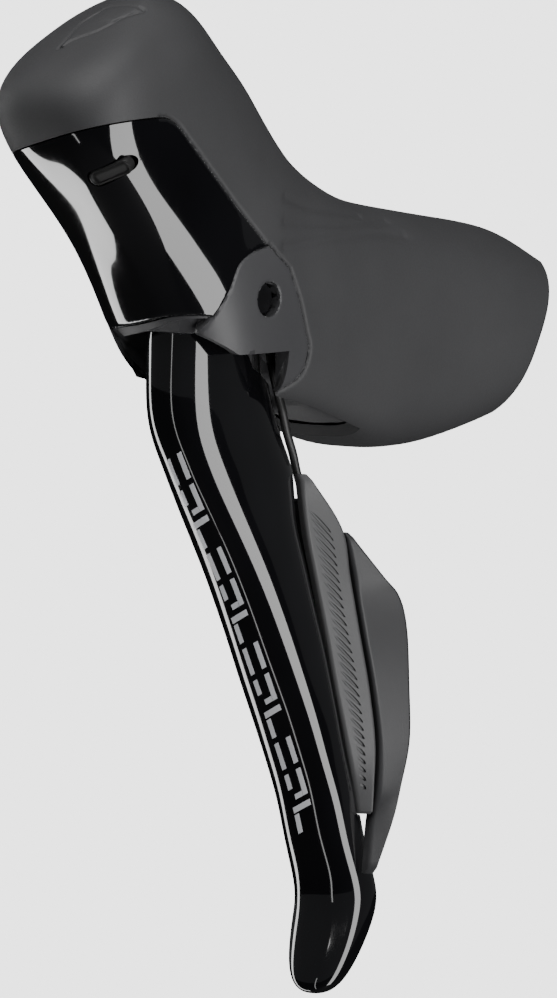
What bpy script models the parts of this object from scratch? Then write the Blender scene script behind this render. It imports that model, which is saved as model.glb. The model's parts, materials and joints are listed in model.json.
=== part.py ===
"""Left brake shift lever for a drop handlebar: bracket, hood, brake lever and shift buttons.

Everything is laid out in millimetres from the lever's axle: +X points away from the bike (outboard),
-Y points forward, +Z points up.  The function place() moves those points into the part's own frame,
in metres, whose origin is the flat at the bottom of the seat that the handlebar lies in.
"""
import math

import bmesh
import bpy
from mathutils import Vector

MM = 0.001
GAP = 0.3                    # clearance between neighbouring pieces

# Handlebar and its seat
BAR_RADIUS = 12.0
BAR_CENTRE = Vector((0.0, 75.0, -11.0))
BAR_TILT = math.radians(31.5)            # the bar's top leans rearward
BAR_UP = Vector((0.0, math.sin(BAR_TILT), math.cos(BAR_TILT)))
BAR_BACK = Vector((0.0, math.cos(BAR_TILT), -math.sin(BAR_TILT)))
SEAT = BAR_CENTRE - BAR_BACK * BAR_RADIUS
BAND_HALF_WIDTH = 5.0
BAND_THICKNESS = 1.0

# Hood, bracket and name plate
HOOD_WALL = 1.8
ROUNDNESS = 2.6              # superellipse exponent of the top half of the bracket's sections
SECTION_POINTS = 24
PLATE_LEAN = 0.265           # how far the plate's top edge climbs per millimetre outboard
SIDE_EDGE_RUN = 1.05         # how far the plate's side edge runs forward per millimetre of height

# Lever
SLOT_HALF_WIDTH = 10.8
AXLE_RADIUS = 3.0
BOSS_RADIUS = 8.0
BLOCK_HALF_WIDTH = 5.5
ROD_DROP = 8.0               # push rod's axis below the axle
BARREL_RADIUS = 2.6
BLADE_ROUNDNESS = 3.4

# Master cylinder, along Y
SLEEVE_FRONT = 21.5
SLEEVE_BACK = 49.0
SLEEVE_RADIUS = 6.5
BORE_RADIUS = 4.8
PISTON_FRONT = 24.0
PISTON_BACK = 36.0

WIRE_PORT_HEIGHTS = (4.5, -1.8)

# Horn
HORN_AXIS = Vector((0.0, -0.45, 0.893)).normalized()
HORN_TOP = Vector((-4.0, -28.0, 48.6))

# Button faces: paddle thickness and how deep their pins lie behind the faces
PADDLE = 2.0
PIN_DEPTH = 3.4

X_AXIS = Vector((1.0, 0.0, 0.0))
Y_AXIS = Vector((0.0, 1.0, 0.0))
INWARD = Vector((-0.948, 0.318, 0.0))    # from a button's face towards the switch unit

# Outer shape of bracket and hood: top edge y, z; bottom edge y, z; half width; middle's x; and how
# square the bottom is, as its superellipse exponent.  The sections run from the handlebar, over the
# saddle for the thumb, to the top of the horn.
BODY_STATIONS = [
    (84.0, 5.0, 66.5, -27.0, 18.0, 1.0, 2.8),
    (75.0, 9.2, 58.0, -29.6, 18.0, 0.5, 2.8),
    (61.0, 11.4, 48.0, -30.2, 17.0, 0.0, 2.9),
    (47.0, 13.7, 38.0, -29.9, 16.0, 0.0, 3.3),
    (35.0, 15.7, 31.0, -27.0, 15.0, 0.0, 4.0),
    (27.2, 18.4, 24.0, -24.5, 14.5, 0.0, 4.5),
    (20.2, 21.8, 15.0, -21.5, 14.5, 0.0, 4.5),
    (15.6, 25.0, 4.5, -19.3, 14.7, -0.4, 4.5),
    (12.2, 28.2, -6.5, -16.5, 15.4, -0.8, 4.2),
    (9.5, 31.5, -14.4, -8.6, 15.5, -1.2, 3.1),
    (6.5, 35.5, -19.4, -0.2, 15.5, -1.8, 2.8),
    (3.0, 40.0, -26.1, 9.8, 15.7, -2.2, 2.8),
    (-1.0, 44.0, -34.5, 19.2, 16.0, -2.8, 3.0),
    (-5.0, 48.0, -41.5, 27.6, 16.2, -3.2, 3.2),
    (-8.5, 51.5, -44.8, 34.6, 15.8, -3.3, 3.0),
    (-12.0, 54.0, -43.2, 40.5, 13.2, -2.6, 2.7),
    (-15.5, 55.3, -37.5, 45.2, 9.0, -1.2, 2.6),
    (-19.5, 55.7, -29.0, 50.6, 4.0, 0.0, 2.6),
]

# Lever blade: z, middle x, middle y, half width, half depth
BLADE_STATIONS = [
    (-6.0, -0.5, -1.5, 7.5, 10.5),
    (-15.0, 0.0, 0.0, 7.8, 13.0),
    (-23.0, 0.2, 1.0, 8.0, 13.8),
    (-30.0, 1.0, 4.0, 8.0, 13.8),
    (-34.0, 1.4, 5.4, 8.0, 13.4),
    (-41.5, 2.2, 6.8, 8.0, 10.8),
    (-48.5, 3.0, 9.5, 8.0, 9.8),
    (-56.0, 3.8, 11.8, 8.0, 8.6),
    (-63.5, 4.6, 14.3, 8.0, 8.0),
    (-71.0, 5.4, 16.2, 8.0, 7.0),
    (-78.0, 6.2, 18.2, 7.8, 6.2),
    (-85.5, 7.0, 20.1, 7.5, 5.5),
    (-93.0, 7.8, 22.6, 7.5, 5.5),
    (-100.0, 8.5, 23.5, 7.5, 5.3),
    (-107.0, 9.3, 25.4, 7.8, 5.2),
    (-111.0, 9.7, 25.5, 7.8, 5.3),
    (-114.5, 10.1, 23.9, 7.7, 5.0),
    (-118.0, 10.5, 21.9, 7.3, 4.5),
    (-121.5, 10.9, 19.8, 6.5, 4.0),
    (-125.0, 11.3, 17.8, 5.0, 3.2),
    (-127.3, 11.4, 17.0, 2.0, 1.5),
]

# Button faces: z, then x and y of the face's front edge and of its rear edge
FRONT_FACE = [
    (-33.0, 8.6, 16.4, 9.9, 17.6),
    (-43.0, 9.8, 16.8, 12.4, 24.2),
    (-52.0, 10.8, 18.2, 13.6, 25.2),
    (-62.0, 12.0, 19.8, 14.9, 26.3),
    (-72.0, 13.0, 21.4, 15.9, 27.8),
    (-82.0, 14.0, 23.2, 17.0, 28.2),
    (-90.0, 14.8, 24.4, 17.8, 26.8),
    (-95.0, 15.4, 24.6, 18.2, 25.8),
]
REAR_FACE = [
    (-44.0, 12.7, 24.9, 12.9, 25.8),
    (-52.0, 13.8, 25.9, 16.6, 31.1),
    (-56.0, 14.3, 26.3, 17.3, 35.0),
    (-62.0, 15.1, 27.0, 17.9, 36.5),
    (-72.0, 16.1, 28.5, 18.9, 35.9),
    (-82.0, 17.2, 28.9, 20.0, 34.6),
    (-90.0, 18.0, 27.5, 20.8, 31.0),
    (-96.0, 17.4, 26.2, 21.4, 27.8),
    (-105.5, 19.2, 22.6, 20.6, 23.4),
]

# Side outlines, as y, z
EAR_FRONT_EDGE = [(-0.6, 9.6), (-4.4, 8.7), (-8.0, 6.6), (-10.0, 2.2), (-13.5, -4.7)]
PLATE_RIM = (-17.0, -2.9)
WINDOW_RIM = (-13.3, -12.0)
EAR_REAR_EDGE = [(5.8, 5.2), (8.8, -0.6), (10.7, -6.2), (11.7, -9.8), (10.2, -14.3), (5.8, -17.2)]
LEVER_SLOT = [(-13.4, -45.0), (-13.4, -5.7), (-10.6, -5.2), (-10.6, 6.0), (-7.0, 11.0), (8.0, 11.5),
              (12.5, 6.0), (14.5, -3.0), (19.0, -9.5), (24.5, -16.5), (30.5, -22.0), (35.0, -45.0)]
SIDE_OPENING = [(-40.0, -6.4), (-17.0, -5.2), (-13.5, -5.6), (-6.5, -9.7), (6.2, -9.7), (6.2, -15.8),
                (4.0, -40.0), (-40.0, -40.0)]
INBOARD_CHEEK = -11.6        # the opening stops here, so the inboard ear reaches further down
BLADE_TOP_CUT = [(-3.0, 5.0), (-3.0, -5.0), (2.0, -9.0), (4.0, -13.0), (15.0, -19.0), (40.0, -19.0),
                 (40.0, 5.0)]
BLOCK_OUTLINE = [(-7.6, 1.0), (-7.3, -12.0), (-5.5, -24.0), (-1.5, -38.0), (11.0, -38.0),
                 (12.5, -24.0), (8.5, -14.0), (7.6, 1.0)]
HEAD_OUTLINE = [(-7.8, 0.5), (-6.6, -5.3), (6.6, -5.3), (7.8, 0.5)]
ROD_SLOT = [(-3.9, -12.4), (3.0, -12.4), (9.5, -18.0), (30.0, -18.0), (30.0, 10.0), (-10.0, 10.0),
            (-10.0, -3.6), (-3.9, -3.6)]

# Base colour, roughness, metallic
FINISHES = {
    "hood_rubber": ((0.045, 0.045, 0.048), 0.75, 0.0),
    "bracket_resin": ((0.07, 0.07, 0.074), 0.45, 0.0),
    "gloss_black": ((0.006, 0.006, 0.007), 0.08, 0.0),
    "button_grey": ((0.07, 0.07, 0.073), 0.5, 0.0),
    "button_black": ((0.035, 0.035, 0.038), 0.45, 0.0),
    "inner_resin": ((0.03, 0.03, 0.032), 0.6, 0.0),
    "seal_rubber": ((0.015, 0.015, 0.015), 0.7, 0.0),
    "steel": ((0.56, 0.56, 0.57), 0.3, 1.0),
    "black_steel": ((0.05, 0.05, 0.055), 0.35, 1.0),
    "alloy": ((0.78, 0.78, 0.8), 0.35, 1.0),
    "brass": ((0.75, 0.58, 0.3), 0.35, 1.0),
    "board_green": ((0.02, 0.12, 0.05), 0.45, 0.0),
    "switch_white": ((0.75, 0.75, 0.73), 0.5, 0.0),
    "cable_sheath": ((0.02, 0.02, 0.02), 0.5, 0.0),
}


def place(point):
    """Move a point from the axle's millimetre layout into the part's frame, in metres."""
    return (Vector(point) - SEAT) * MM


def clear_scene():
    """Empty the file that Blender starts with."""
    for existing in list(bpy.data.objects):
        bpy.data.objects.remove(existing, do_unlink=True)


def material(name):
    """The material of a named finish, made the first time that it is asked for."""
    found = bpy.data.materials.get(name)
    if found:
        return found
    colour, roughness, metallic = FINISHES[name]
    made = bpy.data.materials.new(name)
    made.use_nodes = True
    shader = made.node_tree.nodes["Principled BSDF"]
    shader.inputs["Base Color"].default_value = (*colour, 1.0)
    shader.inputs["Roughness"].default_value = roughness
    shader.inputs["Metallic"].default_value = metallic
    made.diffuse_color = (*colour, 1.0)
    return made


def finish_object(name, data, finish):
    """Link an object; without a finish it is a guide that only cuts or joins."""
    made = bpy.data.objects.new(name, data)
    bpy.context.collection.objects.link(made)
    if finish is None:
        made.hide_render = True
        made.display_type = 'WIRE'
    else:
        data.materials.append(material(finish))
    return made


def mesh_object(name, points, faces, finish):
    """Build a closed mesh from points in the axle layout."""
    mesh = bpy.data.meshes.new(name)
    mesh.from_pydata([place(p) for p in points], [], faces)
    form = bmesh.new()
    form.from_mesh(mesh)
    bmesh.ops.recalc_face_normals(form, faces=form.faces)
    form.to_mesh(mesh)
    form.free()
    mesh.shade_smooth()
    mesh.set_sharp_from_angle(angle=math.radians(40.0))
    return finish_object(name, mesh, finish)


def loft(name, rings, finish=None):
    """Skin equal rings of points in order and cap both ends."""
    count = len(rings[0])
    points = [p for ring in rings for p in ring]
    faces = [tuple(range(count)), tuple(range(len(points) - count, len(points)))]
    for row in range(len(rings) - 1):
        for i in range(count):
            j = (i + 1) % count
            faces.append((row * count + i, row * count + j, (row + 1) * count + j, (row + 1) * count + i))
    return mesh_object(name, points, faces, finish)


def prism(name, outline, x_low, x_high, finish=None, high_outline=None):
    """Extrude a side outline (y, z) along X; the outline at x_high may differ."""
    low = [(x_low, y, z) for y, z in outline]
    high = [(x_high, y, z) for y, z in high_outline or outline]
    return loft(name, [low, high], finish)


def block(name, low, high, finish=None):
    """A box between two corners."""
    corners = [(low[1], low[2]), (high[1], low[2]), (high[1], high[2]), (low[1], high[2])]
    return prism(name, corners, low[0], high[0], finish)


def axis_frame(axis):
    """Two directions that make a right-handed frame with axis."""
    axis = Vector(axis).normalized()
    side = X_AXIS if abs(axis.x) < 0.9 else Y_AXIS
    first = side.cross(axis).normalized()
    return first, axis.cross(first)


def turned(name, profile, base, axis, finish=None, sides=20, ring=False):
    """Turn (along, radius) pairs round an axis; a ring's profile closes on itself, others get flat ends."""
    axis = Vector(axis).normalized()
    first, second = axis_frame(axis)
    base = Vector(base)
    points, rows = [], []
    for along, radius in profile:
        rows.append([len(points) + i for i in range(sides)])
        for i in range(sides):
            angle = 2 * math.pi * (i + 0.5) / sides
            points.append(base + axis * along + (first * math.cos(angle) + second * math.sin(angle)) * radius)
    faces = [] if ring else [tuple(rows[0]), tuple(rows[-1])]
    for low, high in zip(rows, rows[1:] + (rows[:1] if ring else [])):
        for i in range(sides):
            j = (i + 1) % sides
            faces.append((low[i], low[j], high[j], high[i]))
    return mesh_object(name, points, faces, finish)


def rod(name, start, end, radius, finish=None, sides=20):
    """A plain round bar between two points."""
    start, end = Vector(start), Vector(end)
    length = (end - start).length
    return turned(name, [(0.0, radius), (length, radius)], start, end - start, finish, sides)


def tube(name, start, end, inner, outer, finish=None, sides=20):
    """A round sleeve between two points."""
    start, end = Vector(start), Vector(end)
    length = (end - start).length
    profile = [(0.0, inner), (0.0, outer), (length, outer), (length, inner)]
    return turned(name, profile, start, end - start, finish, sides, ring=True)


def screw(name, head, axis, head_radius, head_height, shank_radius, length, finish, socket=0.5):
    """A cap screw: head is the centre of the head's outer face, axis points along the shank."""
    profile = [(0.0, head_radius), (head_height, head_radius), (head_height, shank_radius),
               (length, shank_radius)]
    made = turned(name, profile, head, axis, finish, sides=16)
    axis = Vector(axis).normalized()
    start = Vector(head) - axis * 0.5
    cut(made, rod(name + "_socket", start, Vector(head) + axis * head_height * 0.7,
                  head_radius * socket, sides=6))
    return made


def coil(name, start, axis, radius, wire, turns, length, finish):
    """A helical spring as a bevelled curve."""
    axis = Vector(axis).normalized()
    first, second = axis_frame(axis)
    steps = 10
    curve = bpy.data.curves.new(name, 'CURVE')
    curve.dimensions = '3D'
    curve.bevel_depth = wire * MM
    curve.bevel_resolution = 1
    curve.use_fill_caps = True
    line = curve.splines.new('POLY')
    count = int(turns * steps) + 1
    line.points.add(count - 1)
    for i in range(count):
        angle = 2 * math.pi * i / steps
        point = Vector(start) + axis * length * i / (count - 1)
        point += (first * math.cos(angle) + second * math.sin(angle)) * radius
        line.points[i].co = (*place(point), 1.0)
    return finish_object(name, curve, finish)


def combine(target, tool, operation):
    """Apply one solid to another by union, difference or intersection."""
    step = target.modifiers.new(tool.name, 'BOOLEAN')
    step.operation = operation
    step.object = tool
    step.solver = 'EXACT'


def cut(target, *tools):
    """Take solids away from a target."""
    for tool in tools:
        combine(target, tool, 'DIFFERENCE')


def join(target, *tools):
    """Add solids to a target."""
    for tool in tools:
        combine(target, tool, 'UNION')


def superellipse(angle, exponent):
    """Unit superellipse point, as across and along."""
    c, s = math.cos(angle), math.sin(angle)
    across = math.copysign(abs(c) ** (2.0 / exponent), c)
    along = math.copysign(abs(s) ** (2.0 / exponent), s)
    return across, along


def body_ring(station, inset):
    """One section of the bracket, in the slanting plane through its top and bottom edges."""
    top_y, top_z, bottom_y, bottom_z, half_width, middle_x, squareness = station
    top = Vector((middle_x, top_y, top_z))
    bottom = Vector((middle_x, bottom_y, bottom_z))
    middle = (top + bottom) / 2
    half = (top - bottom) / 2
    half *= (half.length - inset) / half.length
    ring = []
    for i in range(SECTION_POINTS):
        lower = i > SECTION_POINTS / 2
        across, along = superellipse(2 * math.pi * i / SECTION_POINTS, squareness if lower else ROUNDNESS)
        ring.append(middle + X_AXIS * across * (half_width - inset) + half * along)
    return ring


def body_shape(name, inset, finish=None, open_back=0.0):
    """The bracket's outer shape moved inward; a deep inset also lowers the horn's top."""
    stations = BODY_STATIONS if inset < 1.0 else BODY_STATIONS[:-1]
    rings = [body_ring(station, inset) for station in stations]
    if inset >= 1.0:
        drop = HORN_AXIS * (inset - 1.2)
        rings[-1] = [p - drop for p in rings[-1]]
    if open_back:
        rings[0] = [p + (p - q) * open_back for p, q in zip(rings[0], rings[1])]
    return loft(name, rings, finish)


def plate_outline(x, margin, rim=PLATE_RIM):
    """The name plate's side outline at x, grown by margin, down to a rim given by its y, z."""
    edge_y, edge_z = EAR_FRONT_EDGE[0]
    top_z = 30.5 + PLATE_LEAN * x + margin
    corner_y = edge_y + margin - SIDE_EDGE_RUN * (top_z - edge_z)
    outline = [(corner_y - 3.5, top_z), (corner_y - 0.25, top_z - 0.62), (corner_y + 2.53, top_z - 2.41)]
    outline += [(y + margin, z) for y, z in EAR_FRONT_EDGE]
    return outline + [rim, (-70.0, rim[1]), (-70.0, top_z)]


def ear_outline(grow):
    """The ear patch that stands flush with the hood, grown by a small margin, open downwards."""
    front = [(y - grow, z) for y, z in EAR_FRONT_EDGE[1:]]
    back = [(y + grow, z) for y, z in reversed(EAR_REAR_EDGE)]
    return [(0.0, 9.6 + grow)] + front + [(-14.0 - grow, -12.0), (4.0 + grow, -22.0)] + back


def bar_point(x, back, up):
    """A point near the handlebar: outboard, rearward from and up along its centre line."""
    return BAR_CENTRE + X_AXIS * x + BAR_BACK * back + BAR_UP * up


def bar_cutter(name, radius):
    """A bar-shaped cutter with a flat facing the front, so that the seat has a true flat."""
    sides = 24
    ring_radius = radius / math.cos(math.pi / sides)
    rings = []
    for up in (-40.0, 40.0):
        ring = []
        for i in range(sides):
            angle = 2 * math.pi * (i + 0.5) / sides
            ring.append(bar_point(ring_radius * math.sin(angle), -ring_radius * math.cos(angle), up))
        rings.append(ring)
    return loft(name, rings)


# ---------------------------------------------------------------- bracket side

def clamp_bolt_line():
    """Start in the clamp band's block and direction towards the bolt's head."""
    start = bar_point(13.0, -7.2, 0.0)
    head = bar_point(8.2, -28.0, 0.0)
    return start, (head - start).normalized(), head


def build_bracket():
    """Moulded bracket: ears, lever slot, cylinder bore, reservoir, pockets and bar seat."""
    bracket = body_shape("bracket_body", HOOD_WALL + GAP, "bracket_resin")
    for side in (-1, 1):
        skin = body_shape("ear_skin_%d" % side, 0.25)
        low, high = sorted((side * 8.0, side * 30.0))
        combine(skin, prism("ear_limit_%d" % side, ear_outline(0.0), low, high), 'INTERSECT')
        join(bracket, skin)
    cut(bracket, prism("lever_slot", LEVER_SLOT, -SLOT_HALF_WIDTH, SLOT_HALF_WIDTH))
    cut(bracket, prism("side_opening", SIDE_OPENING, INBOARD_CHEEK, 31.0))
    cut(bracket, rod("axle_holes", (-30, 0, 0), (30, 0, 0), AXLE_RADIUS + GAP))
    cut(bracket, rod("sleeve_bore", (0, 10.0, -ROD_DROP), (0, SLEEVE_BACK + GAP, -ROD_DROP),
                     SLEEVE_RADIUS + GAP, sides=24))
    cut(bracket, rod("fluid_passage", (0, 45.0, -9.5), (0, 54.0, -9.5), 1.5, sides=10))
    cut(bracket, rod("hose_port", (-30, 54.5, -12.0), (-1.0, 54.5, -12.0), 4.2))
    cut_horn(bracket)
    cut(bracket, block("battery_pocket", (-30, 26.7, 1.2), (9.3, 45.3, 6.8)))
    cut(bracket, board_pocket())
    head, inward = plate_screw_line()
    cut(bracket, rod("plate_screw_hole", head - inward * 6.0, head + inward * 7.0, 2.2, sides=16))
    centre, out, along = plug_frame()
    cut(bracket, rod("stroke_screw_hole", centre + out * 4.0, centre - out * 11.0, 1.9, sides=16))
    cut_wire_ports(bracket)
    cut_bar_seat(bracket)


def cut_horn(bracket):
    """Reservoir, bleed port and top button pocket."""
    reservoir_base = Vector((-2.0, -6.0, 24.0))
    cut(bracket, rod("reservoir", reservoir_base, reservoir_base + HORN_AXIS * 20.0, 7.0, sides=24))
    port = reservoir_base + HORN_AXIS * 19.0
    cut(bracket, rod("bleed_port", port, port + HORN_AXIS * 30.0, 3.3, sides=16))
    cut(bracket, rod("top_button_pocket", HORN_TOP - HORN_AXIS * 9.0, HORN_TOP + HORN_AXIS * 9.0, 5.4))
    cut(bracket, rod("reservoir_feed", (-2.0, 30.0, -8.0), (-2.0, -5.0, 27.0), 1.4, sides=8))


def board_frame():
    """Centre, length direction and outward direction of the control board behind the plate."""
    along = Vector((0.0, -0.572, 0.821)).normalized()
    out = Vector((0.0, -0.821, -0.572)).normalized()
    return Vector((-1.5, -21.4, 12.2)), along, out


def board_box(name, half_width, half_length, low, high, finish=None):
    """A box in the control board's frame, from low to high along its outward direction."""
    centre, along, out = board_frame()
    rings = []
    for x in (-half_width, half_width):
        rings.append([centre + X_AXIS * x + along * half_length * a + out * o
                      for a, o in ((-1, low), (1, low), (1, high), (-1, high))])
    return loft(name, rings, finish)


def board_pocket():
    """Room for the control board and its chips."""
    return board_box("board_pocket", 8.0, 9.6, -1.0, 12.0)


def cut_wire_ports(bracket):
    """Two round ports for the shifting wires, on the inboard side."""
    for number, z in enumerate(WIRE_PORT_HEIGHTS):
        cut(bracket, rod("wire_port_%d" % number, (-30, 21.0, z), (-5.7, 21.0, z), 2.4, sides=16))


def cut_bar_seat(bracket):
    """The handlebar's seat, and room for the clamp band and its bolt."""
    cut(bracket, bar_cutter("bar_space", BAR_RADIUS))
    cut(bracket, band_shape("band_space", GAP, 20.0))
    start, direction, head = clamp_bolt_line()
    reach = (head - start).length
    stepped = [(0.0, 2.4), (reach - 3.6, 2.4), (reach - 3.6, 3.9), (reach + 20.0, 3.9)]
    cut(bracket, turned("bolt_hole", stepped, start, direction, sides=16))


def build_hood():
    """Rubber cover over the bracket, open at the ears, plate, lever, and handlebar."""
    hood = body_shape("hood_cover", 0.0, "hood_rubber")
    cut(hood, body_shape("hood_inside", HOOD_WALL, open_back=0.4))
    cut(hood, prism("hood_slot", LEVER_SLOT, -SLOT_HALF_WIDTH, SLOT_HALF_WIDTH))
    cut(hood, prism("hood_side_opening", SIDE_OPENING, -30.0, 30.0))
    cut(hood, prism("plate_window", plate_outline(-30, GAP, WINDOW_RIM), -30.0, 30.0,
                    high_outline=plate_outline(30, GAP, WINDOW_RIM)))
    cut(hood, prism("ear_window", ear_outline(GAP), -30.0, 30.0))
    cut(hood, bar_cutter("hood_bar_space", BAR_RADIUS + HOOD_WALL))


def build_name_plate():
    """Gloss front plate with an oblong access hole."""
    plate = body_shape("name_plate", 0.0, "gloss_black")
    cut(plate, body_shape("plate_inside", HOOD_WALL, open_back=0.4))
    combine(plate, prism("plate_limit", plate_outline(-30, 0.0), -30.0, 30.0,
                         high_outline=plate_outline(30, 0.0)), 'INTERSECT')
    cut(plate, prism("plate_lever_slot", LEVER_SLOT, -SLOT_HALF_WIDTH, SLOT_HALF_WIDTH))
    cut(plate, oblong("plug_hole", GAP, 12.0, -6.0))


def plug_frame():
    """Centre of the plug in the name plate, its outward direction and its long direction."""
    out = Vector((0.25, -0.86, -0.44)).normalized()
    along = Vector((0.95, 0.0, 0.30))
    return Vector((7.0, -36.4, 24.4)), out, (along - out * along.dot(out)).normalized()


def oblong(name, grow, high, low, finish=None):
    """A round-ended bar through the plate, 9 by 3 mm, lying along the hood's edge."""
    centre, out, along = plug_frame()
    across = out.cross(along)
    ring = []
    half_run, radius = 3.0, 1.5
    for i in range(16):
        angle = 2 * math.pi * (i + 0.5) / 16
        shift = half_run if math.cos(angle) > 0 else -half_run
        ring.append((shift + (radius + grow) * math.cos(angle), (radius + grow) * math.sin(angle)))
    rings = [[centre + along * u + across * v + out * depth for u, v in ring] for depth in (low, high)]
    return loft(name, rings, finish)


def plate_screw_line():
    """Outer face of the name plate screw's head and the direction that the screw points in."""
    centre, along, out = board_frame()
    return centre + along * 12.5 + out * 3.0, -out


def build_plate_fittings():
    """Plug in the name plate, the plate's screw and the stroke adjuster behind the plug."""
    oblong("name_plate_plug", 0.0, 0.6, -1.6, "seal_rubber")
    head, inward = plate_screw_line()
    screw("name_plate_screw", head, inward, 1.8, 1.2, 1.0, 6.0, "black_steel")
    centre, out, along = plug_frame()
    screw("stroke_adjust_screw", centre - out * 3.4, -out, 1.5, 1.0, 1.5, 6.5, "black_steel")


def build_clamp():
    """Steel band round the handlebar and the bolt that draws it forward."""
    band = band_shape("clamp_band", 0.0, 0.0, "steel")
    start, direction, head = clamp_bolt_line()
    cut(band, rod("band_thread", start - direction * 3.0, start + direction * 12.0, 2.3, sides=16))
    screw("clamp_bolt", head, -direction, 3.5, 3.2, 2.0, 19.5, "steel")


def band_shape(name, grow, reach, finish=None):
    """U-shaped strap with a threaded block at its outboard end; grow and reach make its clearance."""
    inner = BAR_RADIUS + GAP - grow
    outer = BAR_RADIUS + GAP + BAND_THICKNESS + grow
    outline = [(-inner, -8.0 - grow)]
    steps = 14
    for i in range(steps + 1):
        angle = math.pi * i / steps
        outline.append((-inner * math.cos(angle), inner * math.sin(angle)))
    outline += [(inner, -6.5), (11.0 - grow, -6.5), (11.0 - grow, -11.5 - grow),
                (15.0 + grow, -11.5 - grow), (15.0 + grow, -6.5 + grow), (outer, -4.0)]
    for i in range(steps + 1):
        angle = math.pi * i / steps
        outline.append((outer * math.cos(angle), outer * math.sin(angle)))
    outline.append((-outer, -8.0 - grow))
    if reach:
        outline = [(-outer, -8.0 - grow), (-outer, reach), (outer, reach), (outer, -4.0),
                   (15.0 + grow, -6.5 + grow), (15.0 + grow, -11.5 - grow), (11.0 - grow, -11.5 - grow),
                   (11.0 - grow, -6.0), (9.0, -6.0), (-9.0, -6.0), (-11.0, -8.0 - grow)]
    half = BAND_HALF_WIDTH + grow
    return loft(name, [[bar_point(x, back, up) for x, back in outline] for up in (-half, half)], finish)


def build_cylinder():
    """Sleeve, piston, seals, springs and push rod of the master cylinder."""
    def at(y):
        return Vector((0.0, y, -ROD_DROP))
    floor = SLEEVE_BACK - SLEEVE_FRONT
    profile = [(0.0, BORE_RADIUS), (0.0, SLEEVE_RADIUS), (floor, SLEEVE_RADIUS), (floor, 1.2),
               (floor - 2.0, 1.2), (floor - 2.0, BORE_RADIUS)]
    turned("cylinder_sleeve", profile, at(SLEEVE_FRONT), Y_AXIS, "alloy", 24, ring=True)
    tube("cylinder_circlip", at(SLEEVE_FRONT + 0.6), at(SLEEVE_FRONT + 1.6), 2.4, 4.5, "black_steel")
    reach = PISTON_BACK - PISTON_FRONT
    groove = 3.6
    face = BORE_RADIUS - GAP
    profile = [(0.0, face)]
    for start in (2.0, 8.4):
        profile += [(start, face), (start, groove), (start + 1.8, groove), (start + 1.8, face)]
    profile.append((reach, face))
    turned("piston", profile, at(PISTON_FRONT), Y_AXIS, "alloy", 24)
    for name, start in (("piston_seal_front", 2.2), ("piston_seal_rear", 8.6)):
        tube(name, at(PISTON_FRONT + start), at(PISTON_FRONT + start + 1.4), groove + 0.2,
             BORE_RADIUS - 0.1, "seal_rubber")
    coil("piston_spring", at(PISTON_BACK + 1.0), Y_AXIS, 3.3, 0.5, 5, 9.0, "steel")
    profile = [(0.0, 2.8), (2.0, 2.8), (2.6, 1.8), (PISTON_FRONT - 3.6, 1.8)]
    turned("push_rod", profile, at(BARREL_RADIUS + GAP), Y_AXIS, "steel", 16)
    screw("hose_port_plug", (-13.9, 54.5, -12.0), X_AXIS, 3.9, 1.6, 3.2, 8.0, "black_steel")


def build_reservoir():
    """Diaphragm in the horn's reservoir, and the bleed screw with its ring."""
    base = Vector((-2.0, -6.0, 24.0))
    cup = [(1.0, 5.6), (8.0, 5.9), (8.0, 6.7), (9.0, 6.7), (9.0, 5.2), (2.0, 4.8)]
    turned("reservoir_diaphragm", cup, base, HORN_AXIS, "seal_rubber", 20)
    head = base + HORN_AXIS * 28.6
    screw("bleed_screw", head, -HORN_AXIS, 2.9, 1.8, 1.8, 7.4, "black_steel")
    tube("bleed_o_ring", head - HORN_AXIS * 3.4, head - HORN_AXIS * 2.2, 2.1, 2.9, "seal_rubber", 16)


def build_electronics():
    """Control board, battery tray, coin cell and port plugs."""
    board = board_box("control_board", 7.6, 9.2, 0.0, 1.2, "board_green")
    centre, along, out = board_frame()
    for number, (x, shift) in enumerate(((-2.5, 3.5), (3.0, -3.0))):
        middle = centre + along * shift
        ring = [(x - 2.2, -2.2), (x + 2.2, -2.2), (x + 2.2, 2.2), (x - 2.2, 2.2)]
        rings = [[middle + X_AXIS * u + along * v + out * depth for u, v in ring] for depth in (0.5, 2.2)]
        join(board, loft("chip_%d" % number, rings))
    tray = block("battery_tray", (-9.0, 27.0, 1.5), (9.0, 45.0, 6.5), "inner_resin")
    cut(tray, rod("cell_recess", (0, 36, 2.7), (0, 36, 12.0), 8.3, sides=24))
    rod("coin_cell", (0, 36, 3.0), (0, 36, 6.2), 8.0, "steel", 24)
    cover = block("battery_cover", (-11.2, 27.0, 1.5), (-9.3, 45.0, 6.5), "inner_resin")
    screw_line = ((-15.0, 28.7, 4.0), (-5.5, 28.7, 4.0))
    cut(cover, rod("cover_hole", *screw_line, 1.25, sides=12))
    cut(cover, rod("cover_recess", screw_line[0], (-10.2, 28.7, 4.0), 2.0, sides=16))
    cut(tray, rod("tray_thread", *screw_line, 1.25, sides=12))
    screw("battery_cover_screw", (-11.1, 28.7, 4.0), X_AXIS, 1.7, 0.7, 0.9, 5.0, "steel")
    for number, z in enumerate(WIRE_PORT_HEIGHTS):
        turned("wire_port_plug_%d" % (number + 1),
               [(0.0, 2.1), (4.5, 2.1), (4.5, 1.4), (5.5, 1.4)],
               (-11.7, 21.0, z), X_AXIS, "seal_rubber", 16)


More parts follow.
